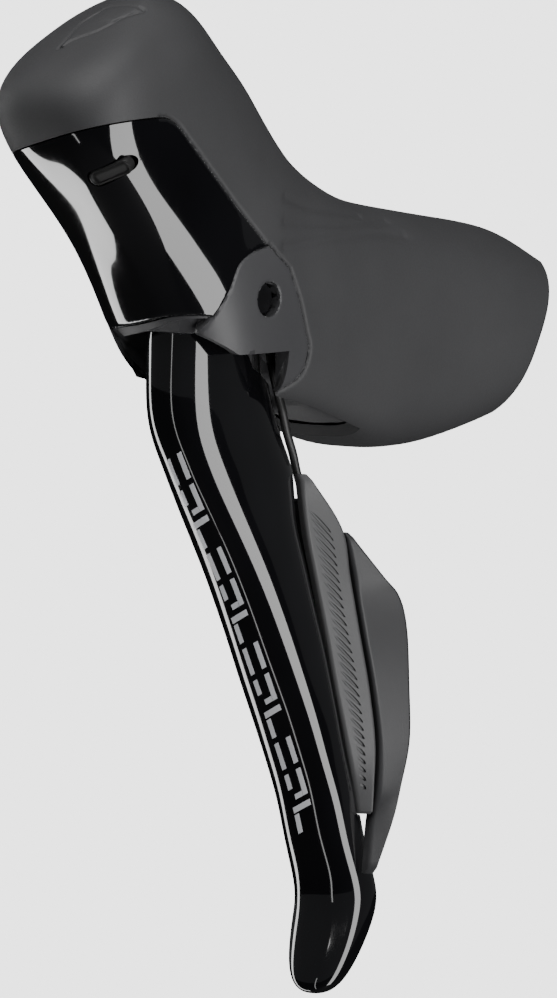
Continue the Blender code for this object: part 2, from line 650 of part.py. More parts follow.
def build_top_button():
    """Hidden button on the horn, under the hood, and its switch."""
    top = HORN_TOP
    profile = [(0.0, 2.0), (3.2, 2.0), (3.2, 5.0), (5.2, 5.0), (5.6, 4.4)]
    turned("top_button", profile, top - HORN_AXIS * 6.6, HORN_AXIS, "inner_resin", 20)
    rings = []
    for depth in (8.7, 7.7):
        centre = top - HORN_AXIS * depth
        side = HORN_AXIS.cross(X_AXIS)
        rings.append([centre + X_AXIS * x * 2.5 + side * s * 2.5
                      for x, s in ((-1, -1), (1, -1), (1, 1), (-1, 1))])
    loft("top_button_switch", rings, "switch_white")


def build_axle():
    """Axle, its two bushes and the lever's return spring."""
    rod("axle_pin", (-13.0, 0, 0), (12.8, 0, 0), AXLE_RADIUS, "steel", 24)
    for name, low, high in (("axle_bush_inboard", -10.1, -4.6), ("axle_bush_outboard", 4.6, 10.1)):
        tube(name, (low, 0, 0), (high, 0, 0), AXLE_RADIUS + 0.25, 4.3, "brass", 24)
    coil("lever_return_spring", (-2.6, 0, 0), X_AXIS, 4.9, 0.6, 3, 5.2, "steel")


# ---------------------------------------------------------------- lever side

def blade_ring(station):
    """One level section of the blade."""
    z, middle_x, middle_y, half_width, half_depth = station
    ring = []
    for i in range(20):
        across, along = superellipse(2 * math.pi * (i + 0.5) / 20, BLADE_ROUNDNESS)
        ring.append((middle_x + across * half_width, middle_y + along * half_depth, z))
    return ring


def build_lever():
    """Alloy lever core on the axle and the moulded blade that fits over it."""
    support = rod("lever_support", (-10.2, 0, 0), (10.2, 0, 0), BOSS_RADIUS, "alloy", 24)
    join(support, prism("support_head", HEAD_OUTLINE, -8.5, 8.5))
    join(support, prism("support_block", BLOCK_OUTLINE, -BLOCK_HALF_WIDTH, BLOCK_HALF_WIDTH))
    cut(support, prism("rod_slot", ROD_SLOT, -3.2, 3.2))
    cut(support, rod("boss_bore", (-20, 0, 0), (20, 0, 0), 4.6, sides=24))
    cut(support, rod("barrel_bore", (-20, 0, -ROD_DROP), (20, 0, -ROD_DROP), BARREL_RADIUS + GAP))
    rod("push_barrel", (-5.3, 0, -ROD_DROP), (5.3, 0, -ROD_DROP), BARREL_RADIUS, "steel")

    blade = loft("lever_blade", [blade_ring(station) for station in BLADE_STATIONS], "gloss_black")
    cut(blade, prism("blade_top_cut", BLADE_TOP_CUT, -30.0, 30.0))
    cut(blade, rod("boss_space", (-30, 0, 0), (30, 0, 0), BOSS_RADIUS + 0.5, sides=24))
    grown = [(y + math.copysign(GAP, y - 3.0), z - (GAP if z < -30 else 0.0)) for y, z in BLOCK_OUTLINE]
    cut(blade, prism("block_socket", grown, -BLOCK_HALF_WIDTH - GAP, BLOCK_HALF_WIDTH + GAP))
    cut(blade, switch_space("blade_rebate", 0.4))
    cut(blade, rod("switch_screw_thread", (3.2, 40.0, -42.0), (3.2, 0.0, -42.0), 1.3, sides=12))
    for number, (y, z) in enumerate(((17.2, -26.0), (18.3, -34.0))):
        line = ((1.0, 40.0, z), (1.0, 4.0, z))
        cut(blade, rod("blade_screw_hole_%d" % number, *line, 1.8, sides=12))
        cut(blade, rod("blade_screw_recess_%d" % number, (1.0, 40.0, z), (1.0, y - 2.2, z), 2.9, sides=16))
        cut(support, rod("support_thread_%d" % number, *line, 1.8, sides=12))
        screw("blade_screw_%d" % (number + 1), (1.0, y, z), -Y_AXIS, 2.6, 1.8, 1.5, 10.0, "black_steel")
    line = ((0.0, 40.0, -20.0), (0.0, 0.0, -20.0))
    cut(blade, rod("reach_screw_hole", *line, 1.8, sides=12))
    cut(support, rod("reach_screw_thread", *line, 1.8, sides=12))
    screw("reach_adjust_screw", (0.0, 10.5, -20.0), -Y_AXIS, 1.5, 1.0, 1.5, 8.0, "black_steel")


def face_at(stations, z):
    """Front and rear edge of a button face at height z."""
    for above, below in zip(stations, stations[1:]):
        if below[0] <= z:
            break
    share = (z - above[0]) / (below[0] - above[0])
    mixed = [a + (b - a) * share for a, b in zip(above, below)]
    return Vector((mixed[1], mixed[2], z)), Vector((mixed[3], mixed[4], z))


def behind(stations, z, share, depth):
    """A point behind a face: share of the way from its front to its rear edge, and how deep."""
    front, rear = face_at(stations, z)
    return front.lerp(rear, share) + INWARD * depth


def pin_span(stations, high, low, share):
    """The two ends of a straight hinge line behind a face, between two heights."""
    ends = [behind(stations, z, share, PIN_DEPTH) for z in (-60.0, -84.0)]
    direction = ends[1] - ends[0]
    return [ends[0] + direction * (z - ends[0].z) / direction.z for z in (high, low)]


def switch_space(name, grow):
    """The room that the switch unit and its front button take behind the blade."""
    rings = []
    for z, front_x, front_y, rear_x, rear_y in FRONT_FACE:
        low_x = front_x - 10.5 - grow
        rings.append([(front_x + 1.0 + grow, front_y - grow, z), (rear_x + 4.0, rear_y + 14.0, z),
                      (low_x, rear_y + 14.0, z), (low_x, front_y + 2.2 - grow, z)])
    rings.insert(0, [(x, y, z + 3.0) for x, y, z in rings[0]])
    rings.append([(x, y, z - 1.5) for x, y, z in rings[-1]])
    return loft(name, rings)


def build_switch_housing():
    """Housing behind the two buttons, its board, switches, fixing screw and lead."""
    rings = [[(5.6, 18.6, -38.0), (5.6, 22.5, -38.0), (0.8, 22.5, -38.0), (0.8, 18.8, -38.0)]]
    for z in (-46.0, -54.0, -62.0, -70.0, -78.0, -86.0, -92.0):
        rings.append([behind(FRONT_FACE, z, 0.1, 6.6), behind(REAR_FACE, z, 0.8, 6.6),
                      behind(REAR_FACE, z, 0.8, 9.6), behind(FRONT_FACE, z, 0.0, 10.2)])
    housing = loft("switch_housing", rings, "inner_resin")
    heights = (-56.0, -66.0, -76.0, -84.0)
    cut(housing, loft("board_recess", [switch_board_ring(z, 0.4, 5.0, 8.6) for z in heights]))
    heights = (-56.5, -66.0, -76.0, -83.5)
    loft("switch_board", [switch_board_ring(z, 0.0, 7.3, 8.2) for z in heights], "board_green")
    for name, stations, z, share in (("front_switch", FRONT_FACE, -70.5, 0.7),
                                     ("rear_switch", REAR_FACE, -70.5, 0.6)):
        rod(name, behind(stations, z, share, 7.0), behind(stations, z, share, 3.0), 1.2,
            "switch_white", 12)
    line = ((3.2, 40.0, -42.0), (3.2, 0.0, -42.0))
    cut(housing, rod("switch_screw_hole", *line, 1.3, sides=12))
    cut(housing, rod("switch_screw_recess", line[0], (3.2, 22.8, -42.0), 2.4, sides=16))
    screw("switch_unit_screw", (3.2, 24.5, -42.0), -Y_AXIS, 2.0, 1.4, 1.0, 9.0, "black_steel")


def build_switch_lead():
    """Lead from the switch unit up behind the blade to its connector beside the boss."""
    route = [(6.2, 20.6, -37.4), (5.1, 20.0, -33.5), (4.8, 19.0, -29.5), (4.8, 17.2, -25.5),
             (5.2, 15.4, -21.5), (6.0, 13.0, -18.0), (6.3, 11.2, -14.0), (6.3, 10.2, -10.0), (6.3, 9.9, -6.5)]
    curve = bpy.data.curves.new("switch_lead", 'CURVE')
    curve.dimensions = '3D'
    curve.bevel_depth = 0.8 * MM
    curve.bevel_resolution = 2
    curve.use_fill_caps = True
    line = curve.splines.new('POLY')
    line.points.add(len(route) - 1)
    for target, point in zip(line.points, route):
        target.co = (*place(point), 1.0)
    finish_object("switch_lead", curve, "cable_sheath")
    block("lead_connector", (4.4, 8.7, -6.0), (8.2, 11.2, -1.5), "inner_resin")


def switch_board_ring(z, grow, depth_out, depth_in):
    """One section of the switch board, grown along its width, between two depths."""
    front = behind(FRONT_FACE, z, 0.3, 0.0)
    rear = behind(REAR_FACE, z, 0.72, 0.0)
    edge = (rear - front).normalized() * grow
    return [front - edge + INWARD * depth_out, rear + edge + INWARD * depth_out,
            rear + edge + INWARD * depth_in, front - edge + INWARD * depth_in]


def build_buttons():
    """Both shift paddles with their hinge lugs, pins and springs."""
    for name, stations, share, finish in (("front_button", FRONT_FACE, 0.25, "button_grey"),
                                          ("rear_button", REAR_FACE, 0.45, "button_black")):
        rings = []
        for z, front_x, front_y, rear_x, rear_y in stations:
            front, rear = Vector((front_x, front_y, z)), Vector((rear_x, rear_y, z))
            rings.append([front, rear, rear + INWARD * PADDLE, front + INWARD * PADDLE])
        button = loft(name, rings, finish)
        for number, (high, low) in enumerate(((-57.5, -63.0), (-75.5, -81.0))):
            join(button, rod("%s_lug_%d" % (name, number), *pin_span(stations, high, low, share), 1.7,
                             sides=14))
        cut(button, rod(name + "_bore", *pin_span(stations, -50.0, -100.0, share), 1.0, sides=12))
        rod(name + "_pin", *pin_span(stations, -56.5, -82.0, share), 0.75, "steel", 12)
        start = behind(stations, -67.0, 0.7, PADDLE + GAP)
        coil(name + "_spring", start + INWARD * 0.3, INWARD, 1.0, 0.2, 4, 3.2, "steel")


def main():
    """Build every piece."""
    clear_scene()
    build_bracket()
    build_hood()
    build_name_plate()
    build_plate_fittings()
    build_clamp()
    build_cylinder()
    build_reservoir()
    build_electronics()
    build_top_button()
    build_axle()
    build_lever()
    build_switch_housing()
    build_switch_lead()
    build_buttons()


main()
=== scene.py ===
"""Looks of a left brake shift lever for a drop handlebar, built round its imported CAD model.

Shapes are worked out in millimetres in the axle layout: the origin is the lever's axle, +X points
outboard, +Y rearward and +Z up.  Meshes move into the model's own frame, in metres, when finished.
"""
import json
import logging
import math
from dataclasses import dataclass, field
from enum import Enum
from typing import Callable, Iterable, Sequence

import bmesh
import bpy
import numpy as np
from mathutils import Matrix, Vector


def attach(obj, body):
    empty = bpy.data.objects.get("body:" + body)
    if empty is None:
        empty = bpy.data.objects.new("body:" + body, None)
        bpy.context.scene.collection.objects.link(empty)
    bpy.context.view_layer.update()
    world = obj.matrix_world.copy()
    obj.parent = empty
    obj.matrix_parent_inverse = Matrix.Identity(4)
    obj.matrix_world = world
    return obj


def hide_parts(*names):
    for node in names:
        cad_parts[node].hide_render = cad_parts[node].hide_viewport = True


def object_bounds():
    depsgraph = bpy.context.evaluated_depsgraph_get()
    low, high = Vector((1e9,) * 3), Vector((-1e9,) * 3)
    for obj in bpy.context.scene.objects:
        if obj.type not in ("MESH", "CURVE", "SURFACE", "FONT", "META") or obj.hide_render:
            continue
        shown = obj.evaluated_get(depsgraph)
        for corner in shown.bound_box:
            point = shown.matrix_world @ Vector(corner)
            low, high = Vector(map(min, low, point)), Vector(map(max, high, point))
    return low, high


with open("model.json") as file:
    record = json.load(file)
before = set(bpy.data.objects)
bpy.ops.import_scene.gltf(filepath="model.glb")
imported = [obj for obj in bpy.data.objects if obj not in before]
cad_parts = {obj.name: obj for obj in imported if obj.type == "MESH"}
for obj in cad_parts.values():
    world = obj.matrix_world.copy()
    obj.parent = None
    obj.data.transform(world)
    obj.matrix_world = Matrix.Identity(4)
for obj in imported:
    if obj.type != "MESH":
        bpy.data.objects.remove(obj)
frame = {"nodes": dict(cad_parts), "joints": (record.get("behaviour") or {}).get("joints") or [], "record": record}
CAD_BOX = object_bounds()

LOG = logging.getLogger("brake_shift_lever")
MM = 0.001
FAR = 60.0                      # reaches past the object on either side, in millimetres
AXLE = Vector(next(j for j in frame["joints"] if j["name"] == "lever_pivot")["pos_m"])
LAYOUT_TO_FRAME = Matrix.Translation(AXLE) @ Matrix.Scale(MM, 4)
RECORD_SLOTS = {part["node"]: part["material_slot"] for part in frame["record"]["subparts"]}

Array = np.ndarray
Outline = Sequence[tuple[float, float]]


class Body(Enum):
    """Rigid bodies of the CAD model that pieces ride on."""

    BRACKET = "bracket"
    LEVER = "lever"
    PISTON = "piston"
    FRONT_BUTTON = "front_button"
    REAR_BUTTON = "rear_button"
    TOP_BUTTON = "top_button"


BODY_OF = {node: Body(body) for body, nodes in frame["record"]["behaviour"]["bodies"].items()
           for node in nodes}


class Cut(Enum):
    """Boolean operations between solids, with the least share of volume that a sound result keeps."""

    TAKE = ("DIFFERENCE", 0.05)
    SHAVE = ("DIFFERENCE", 0.0005)          # leaves only a film
    KEEP = ("INTERSECT", 0.0002)

    def __init__(self, operation: str, least_share: float) -> None:
        """Name the parts of the value."""
        self.operation = operation
        self.least_share = least_share


# ---------------------------------------------------------------- finishes


class NodeSketch:
    """Thin helper that adds and links the nodes of one material."""

    def __init__(self, name: str) -> None:
        """Start an empty material with a Principled shader."""
        self.material = bpy.data.materials.new(name)
        self.material.use_nodes = True
        self.tree = self.material.node_tree
        self.shader = self.tree.nodes["Principled BSDF"]
        self.place = self.tree.nodes.new("ShaderNodeTexCoord").outputs["Object"]

    def set(self, **values: float | tuple[float, ...]) -> None:
        """Set constant shader inputs; underscores in the names stand for spaces."""
        for name, value in values.items():
            self.shader.inputs[name.replace("_", " ")].default_value = value

    def add(self, kind: str, **settings: object) -> bpy.types.Node:
        """Add a node and set its properties."""
        node = self.tree.nodes.new(kind)
        for name, value in settings.items():
            setattr(node, name, value)
        return node

    def link(self, source: bpy.types.NodeSocket, target: bpy.types.NodeSocket) -> None:
        """Join two sockets."""
        self.tree.links.new(source, target)

    def stretched(self, stretch: tuple[float, float, float]) -> bpy.types.NodeSocket:
        """Object coordinates scaled along each axis, for grain that runs in one direction."""
        mapping = self.add("ShaderNodeMapping")
        mapping.inputs["Scale"].default_value = stretch
        self.link(self.place, mapping.inputs["Vector"])
        return mapping.outputs["Vector"]

    def noise(self, size: float, detail: float = 3.0,
              vector: bpy.types.NodeSocket | None = None) -> bpy.types.NodeSocket:
        """Fractal noise whose features are about size metres across.

        Args:
            size: Width of the coarsest feature.
            detail: Octaves of finer noise.
            vector: Coordinates to read; plain object coordinates if left out.

        Returns:
            The noise's factor output.
        """
        node = self.add("ShaderNodeTexNoise")
        node.inputs["Scale"].default_value = 1.0 / size
        node.inputs["Detail"].default_value = detail
        self.link(vector or self.place, node.inputs["Vector"])
        return node.outputs["Fac"]

    def spread(self, factor: bpy.types.NodeSocket, low: float, high: float,
               target: bpy.types.NodeSocket) -> None:
        """Map the middle of a noise's range onto low to high and feed it to a socket."""
        node = self.add("ShaderNodeMapRange")
        for name, value in (("From Min", 0.3), ("From Max", 0.7), ("To Min", low), ("To Max", high)):
            node.inputs[name].default_value = value
        self.link(factor, node.inputs["Value"])
        self.link(node.outputs["Result"], target)

    def tint(self, factor: bpy.types.NodeSocket, dark: tuple[float, ...], light: tuple[float, ...]) -> None:
        """Blend the base colour between two tones by a factor."""
        ramp = self.add("ShaderNodeValToRGB")
        ramp.color_ramp.elements[0].position = 0.3
        ramp.color_ramp.elements[1].position = 0.7
        ramp.color_ramp.elements[0].color = (*dark, 1.0)
        ramp.color_ramp.elements[1].color = (*light, 1.0)
        self.link(factor, ramp.inputs["Fac"])
        self.link(ramp.outputs["Color"], self.shader.inputs["Base Color"])

    def bump(self, heights: Iterable[tuple[bpy.types.NodeSocket, float]]) -> None:
        """Chain bumps, each given by its height socket and its depth in metres."""
        previous = None
        for height, depth in heights:
            node = self.add("ShaderNodeBump")
            node.inputs["Strength"].default_value = 1.0
            node.inputs["Distance"].default_value = depth
            self.link(height, node.inputs["Height"])
            if previous is not None:
                self.link(previous, node.inputs["Normal"])
            previous = node.outputs["Normal"]
        self.link(previous, self.shader.inputs["Normal"])


@dataclass(frozen=True)
class Moulded:
    """Moulded plastic or rubber: spark-eroded grain, faint mottling and uneven sheen."""

    name: str
    colour: tuple[float, float, float]
    roughness: float
    grain: float                # width of the surface grain, in metres
    depth: float                # height of the grain, in metres
    mottle: float = 0.12        # share by which the tone wanders
    coat: float = 0.0

    def build(self) -> bpy.types.Material:
        """Make the material."""
        sketch = NodeSketch(self.name)
        sketch.set(Coat_Weight=self.coat, Coat_Roughness=0.03, IOR=1.5)
        broad = sketch.noise(0.018, 5.0)
        dark = tuple(c * (1.0 - self.mottle) for c in self.colour)
        light = tuple(c * (1.0 + self.mottle) for c in self.colour)
        sketch.tint(broad, dark, light)
        grain = sketch.noise(self.grain, 4.0)
        sketch.spread(grain, self.roughness - 0.05, self.roughness + 0.05, sketch.shader.inputs["Roughness"])
        sketch.bump([(grain, self.depth), (sketch.noise(0.006, 2.0), self.depth * 0.5)])
        return sketch.material


@dataclass(frozen=True)
class Lacquered:
    """Deep lacquer: faint orange peel under a clear coat, with hairline wear in the gloss."""

    name: str
    colour: tuple[float, float, float]
    roughness: float

    def build(self) -> bpy.types.Material:
        """Make the material."""
        sketch = NodeSketch(self.name)
        sketch.set(IOR=1.55, Coat_Weight=1.0, Coat_Roughness=0.015, Coat_IOR=1.6)
        sketch.tint(sketch.noise(0.02, 2.0), self.colour, tuple(c * 1.5 for c in self.colour))
        hairline = sketch.noise(0.0012, 6.0, sketch.stretched((1.0, 1.0, 0.08)))
        sketch.spread(hairline, self.roughness, self.roughness + 0.03, sketch.shader.inputs["Roughness"])
        sketch.bump([(sketch.noise(0.003, 1.0), 0.000002)])
        return sketch.material


@dataclass(frozen=True)
class Machined:
    """Metal with tool marks that run round or along one direction."""

    name: str
    colour: tuple[float, float, float]
    roughness: float
    stretch: tuple[float, float, float] = (0.06, 1.0, 1.0)
    mark: float = 0.00025       # width of one tool mark, in metres
    depth: float = 0.000003

    def build(self) -> bpy.types.Material:
        """Make the material."""
        sketch = NodeSketch(self.name)
        sketch.set(Metallic=1.0)
        marks = sketch.noise(self.mark, 5.0, sketch.stretched(self.stretch))
        sketch.tint(sketch.noise(0.004, 3.0), tuple(c * 0.85 for c in self.colour), self.colour)
        sketch.spread(marks, self.roughness - 0.07, self.roughness + 0.1, sketch.shader.inputs["Roughness"])
        sketch.bump([(marks, self.depth)])
        return sketch.material


@dataclass(frozen=True)
class CircuitBoard:
    """Solder mask over copper tracks, with bare pads."""

    name: str
    mask: tuple[float, float, float]
    track: tuple[float, float, float]

    def build(self) -> bpy.types.Material:
        """Make the material."""
        sketch = NodeSketch(self.name)
        sketch.set(Coat_Weight=0.4, Coat_Roughness=0.15)
        cells = sketch.add("ShaderNodeTexVoronoi", distance="CHEBYCHEV")
        cells.inputs["Scale"].default_value = 700.0
        sketch.link(sketch.place, cells.inputs["Vector"])
        sketch.tint(cells.outputs["Distance"], self.mask, self.track)
        sketch.spread(sketch.noise(0.0008), 0.35, 0.5, sketch.shader.inputs["Roughness"])
        sketch.bump([(cells.outputs["Distance"], 0.00001)])
        return sketch.material


FINISHES = {
    "hood_rubber": Moulded("hood_rubber", (0.042, 0.042, 0.044), 0.6, 0.00035, 0.00002, 0.08),
    "bracket_resin": Moulded("bracket_resin", (0.055, 0.055, 0.058), 0.42, 0.00028, 0.000014, 0.06),
    "gloss_black": Lacquered("gloss_black", (0.0035, 0.0035, 0.0042), 0.06),
    "button_grey": Moulded("button_grey", (0.07, 0.07, 0.072), 0.48, 0.0003, 0.00002, 0.08),
    "button_black": Moulded("button_black", (0.03, 0.03, 0.032), 0.46, 0.00028, 0.000012, 0.05),
    "inner_resin": Moulded("inner_resin", (0.03, 0.03, 0.032), 0.55, 0.0004, 0.000012),
    "seal_rubber": Moulded("seal_rubber", (0.014, 0.014, 0.014), 0.42, 0.0003, 0.000006, 0.1, 0.15),
    "steel": Machined("steel", (0.6, 0.6, 0.61), 0.3),
    "black_steel": Machined("black_steel", (0.06, 0.06, 0.065), 0.36),
    "alloy": Machined("alloy", (0.78, 0.78, 0.8), 0.34, (1.0, 1.0, 0.06)),
    "brass": Machined("brass", (0.75, 0.58, 0.3), 0.32),
    "board_green": CircuitBoard("board_green", (0.02, 0.12, 0.05), (0.05, 0.2, 0.08)),
    "switch_white": Moulded("switch_white", (0.75, 0.75, 0.73), 0.45, 0.0004, 0.00001, 0.04),
    "cable_sheath": Moulded("cable_sheath", (0.02, 0.02, 0.02), 0.4, 0.0003, 0.000006),
    "silver_print": Moulded("silver_print", (0.72, 0.73, 0.76), 0.28, 0.0002, 0.000002, 0.04, 0.5),
}


class Palette:
    """The finishes' materials, each made once."""

    def __init__(self) -> None:
        """Start with nothing made."""
        self.made: dict[str, bpy.types.Material] = {}

    def get(self, name: str) -> bpy.types.Material:
        """The material of a finish by name."""
        if name not in self.made:
            self.made[name] = FINISHES[name].build()
        return self.made[name]


PALETTE = Palette()


# ---------------------------------------------------------------- mesh work


def mesh_piece(name: str, points: Iterable[Sequence[float]],
               faces: Sequence[Sequence[int]]) -> bpy.types.Object:
    """Make an object from points in the axle layout, with its faces turned outwards."""
    mesh = bpy.data.meshes.new(name)
    mesh.from_pydata([tuple(map(float, p)) for p in points], [], [tuple(map(int, f)) for f in faces])
    form = bmesh.new()
    form.from_mesh(mesh)
    bmesh.ops.remove_doubles(form, verts=form.verts, dist=1e-5)
    bmesh.ops.recalc_face_normals(form, faces=form.faces)
    form.to_mesh(mesh)
    form.free()
    piece = bpy.data.objects.new(name, mesh)
    bpy.context.collection.objects.link(piece)
    return piece


def skinned(name: str, rings: Array) -> bpy.types.Object:
    """Skin equal rings of points, shaped (rows, count, 3), and cap both ends."""
    rows, count = rings.shape[:2]
    base = np.arange(count)
    turn = (base + 1) % count
    faces = [list(base), list(base + (rows - 1) * count)]
    for row in range(rows - 1):
        low, high = row * count, (row + 1) * count
        faces += np.stack([low + base, low + turn, high + turn, high + base], axis=1).tolist()
    return mesh_piece(name, rings.reshape(-1, 3), faces)


def prism(name: str, outline: Outline, low: float, high: float,
          high_outline: Outline | None = None) -> bpy.types.Object:
    """Extrude a side outline of (y, z) points along X; the far outline may differ."""
    shapes = ((low, outline), (high, high_outline or outline))
    ends = [[(x, y, z) for y, z in shape] for x, shape in shapes]
    return skinned(name, np.array(ends))


def frame_round(axis: Vector) -> tuple[Vector, Vector]:
    """Two directions square to an axis and to each other."""
    side = Vector((1, 0, 0)) if abs(axis.x) < 0.9 else Vector((0, 1, 0))
    first = side.cross(axis).normalized()
    return first, axis.cross(first)


def turned(name: str, base: Sequence[float], axis: Sequence[float], profile: Outline,
           sides: int = 64) -> bpy.types.Object:
    """Turn (along, radius) pairs round an axis and cap both ends."""
    direction = Vector(axis).normalized()
    first, second = frame_round(direction)
    angles = np.arange(sides) * 2 * math.pi / sides
    circle = np.outer(np.cos(angles), first) + np.outer(np.sin(angles), second)
    rings = [np.array(base) + np.array(direction) * along + circle * radius
             for along, radius in profile]
    return skinned(name, np.array(rings))


def rod(name: str, start: Sequence[float], end: Sequence[float], radius: float,
        sides: int = 64) -> bpy.types.Object:
    """A plain round bar between two points."""
    run = Vector(end) - Vector(start)
    return turned(name, start, run, [(0.0, radius), (run.length, radius)], sides)


def bake(piece: bpy.types.Object) -> bpy.types.Object:
    """Turn a piece's modifiers into plain mesh."""
    graph = bpy.context.evaluated_depsgraph_get()
    mesh = bpy.data.meshes.new_from_object(piece.evaluated_get(graph))
    piece.modifiers.clear()
    piece.data = mesh
    return piece


def volume(mesh: bpy.types.Mesh) -> float:
    """Volume inside a closed mesh."""
    form = bmesh.new()
    form.from_mesh(mesh)
    found = form.calc_volume()
    form.free()
    return found


def carve(piece: bpy.types.Object, how: Cut, *tools: bpy.types.Object) -> bpy.types.Object:
    """Cut a piece by tools, one after another, and remove the tools.

    Args:
        piece: Closed solid to cut.
        how: What to do with the tools.
        tools: Closed solids.

    Returns:
        The piece.

    Raises:
        RuntimeError: If a tool leaves less of the piece than a sound cut would.
    """
    for tool in tools:
        least = volume(piece.data) * how.least_share
        step = piece.modifiers.new(tool.name, "BOOLEAN")
        step.operation = how.operation
        step.solver = "MANIFOLD"
        step.object = tool
        bake(piece)
        if volume(piece.data) <= least:
            raise RuntimeError(f"{tool.name} can't cut {piece.name}")
        bpy.data.objects.remove(tool)
    return piece


def merge(name: str, parts: Sequence[bpy.types.Object]) -> bpy.types.Object:
    """Join closed shells into one piece."""
    form = bmesh.new()
    for part in parts:
        form.from_mesh(part.data)
        bpy.data.objects.remove(part)
    mesh = bpy.data.meshes.new(name)
    form.to_mesh(mesh)
    form.free()
    piece = bpy.data.objects.new(name, mesh)
    bpy.context.collection.objects.link(piece)
    return piece


def flow(table: Sequence[Sequence[float]], steps: int) -> Array:
    """Smooth curve through the rows of a table, with a number of steps between rows."""
    rows = np.array(table, float)
    padded = np.vstack([2 * rows[0] - rows[1], rows, 2 * rows[-1] - rows[-2]])
    share = (np.arange(steps) / steps)[:, None]
    out = []
    for a, b, c, d in zip(padded, padded[1:], padded[2:], padded[3:]):
        out.append(0.5 * (2 * b + (c - a) * share + (2 * a - 5 * b + 4 * c - d) * share ** 2
                          + (3 * b - a - 3 * c + d) * share ** 3))
    return np.vstack(out + [rows[-1:]])


def eased(rows: Array, reach: int) -> Array:
    """Even out a dense table with a bell-shaped average over reach rows to either side, ends kept."""
    weights = np.hanning(2 * reach + 3)[1:-1]
    weights /= weights.sum()
    before = 2 * rows[0] - rows[reach:0:-1]
    after = 2 * rows[-1] - rows[-2:-2 - reach:-1]
    padded = np.vstack([before, rows, after])
    out = np.stack([np.convolve(column, weights, "valid") for column in padded.T], 1)
    out[0], out[-1] = rows[0], rows[-1]
    return out


def segment_distance(points: Array, line: Array) -> Array:
    """Distance from 2-D points to an open line of 2-D points, which may differ for each point.

    Args:
        points: Shape (n, 2).
        line: Shape (k, 2), or (n, k, 2) where the line depends on the point.

    Returns:
        The n distances.
    """
    ends = line if line.ndim == 3 else line[None]
    start, run = ends[:, :-1], ends[:, 1:] - ends[:, :-1]
    off = points[:, None] - start
    share = np.clip((off * run).sum(2) / np.maximum((run * run).sum(2), 1e-9), 0, 1)
    return np.linalg.norm(off - run * share[..., None], axis=2).min(1)


def coordinates(form: bmesh.types.BMesh) -> Array:
    """All vertex positions of a form."""
    return np.array([v.co for v in form.verts])


def refine(piece: bpy.types.Object, distance: Callable[[Array], Array], bands: Sequence[float]) -> None:
    """Split the edges that lie near a feature, once for each band width in millimetres."""
    form = bmesh.new()
    form.from_mesh(piece.data)
    for band in bands:
        near = distance(coordinates(form)) < band
        form.verts.ensure_lookup_table()
        edges = [e for e in form.edges if near[e.verts[0].index] and near[e.verts[1].index]]
        bmesh.ops.subdivide_edges(form, edges=edges, cuts=1, use_grid_fill=True)
        form.verts.index_update()
    form.to_mesh(piece.data)
    form.free()


def push(piece: bpy.types.Object, lift: Callable[[Array], Array]) -> None:
    """Move each vertex along its normal by the millimetres that a function of position gives."""
    form = bmesh.new()
    form.from_mesh(piece.data)
    form.normal_update()
    for vertex, amount in zip(form.verts, lift(coordinates(form))):
        vertex.co += vertex.normal * float(amount)
    form.to_mesh(piece.data)
    form.free()


def rounding(distance: Array, radius: float) -> Array:
    """How far a surface sinks near an edge that is rounded by radius."""
    inside = np.clip(radius - distance, 0, radius)
    return -(radius - np.sqrt(radius ** 2 - inside ** 2))


def finish(piece: bpy.types.Object, body: Body, slot: str, replaces: Sequence[str] = (), sharp: float = 32.0,
           look: str | None = None) -> bpy.types.Object:
    """Move a piece into the model's frame, dress it and attach it to its body.

    Args:
        piece: Mesh in the axle layout, in millimetres.
        body: The rigid body that it moves with.
        slot: The record's material slot.
        replaces: CAD nodes that it stands for.
        sharp: Angle in degrees past which an edge stays crisp.
        look: Finish that it wears, where that isn't the slot's own.

    Returns:
        The piece.
    """
    piece.data.transform(LAYOUT_TO_FRAME)
    low, high = np.array(CAD_BOX[0]), np.array(CAD_BOX[1])
    for vertex in piece.data.vertices:
        vertex.co = Vector(np.clip(vertex.co, low, high))
    return dress(piece, body, slot, replaces, sharp, look)


def dress(piece: bpy.types.Object, body: Body, slot: str, replaces: Sequence[str], sharp: float,
          look: str | None = None) -> bpy.types.Object:
    """Shade, paint and attach a piece that is already in the model's frame."""
    piece.data.materials.clear()
    piece.data.materials.append(PALETTE.get(look or slot))
    for polygon in piece.data.polygons:
        polygon.material_index = 0
    piece.data.shade_smooth()
    piece.data.set_sharp_from_angle(angle=math.radians(sharp))
    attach(piece, body.value)
    if replaces:
        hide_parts(*replaces)
    LOG.info("%s: %d faces on %s", piece.name, len(piece.data.polygons), body.value)
    return piece


# ---------------------------------------------------------------- bracket's outer form


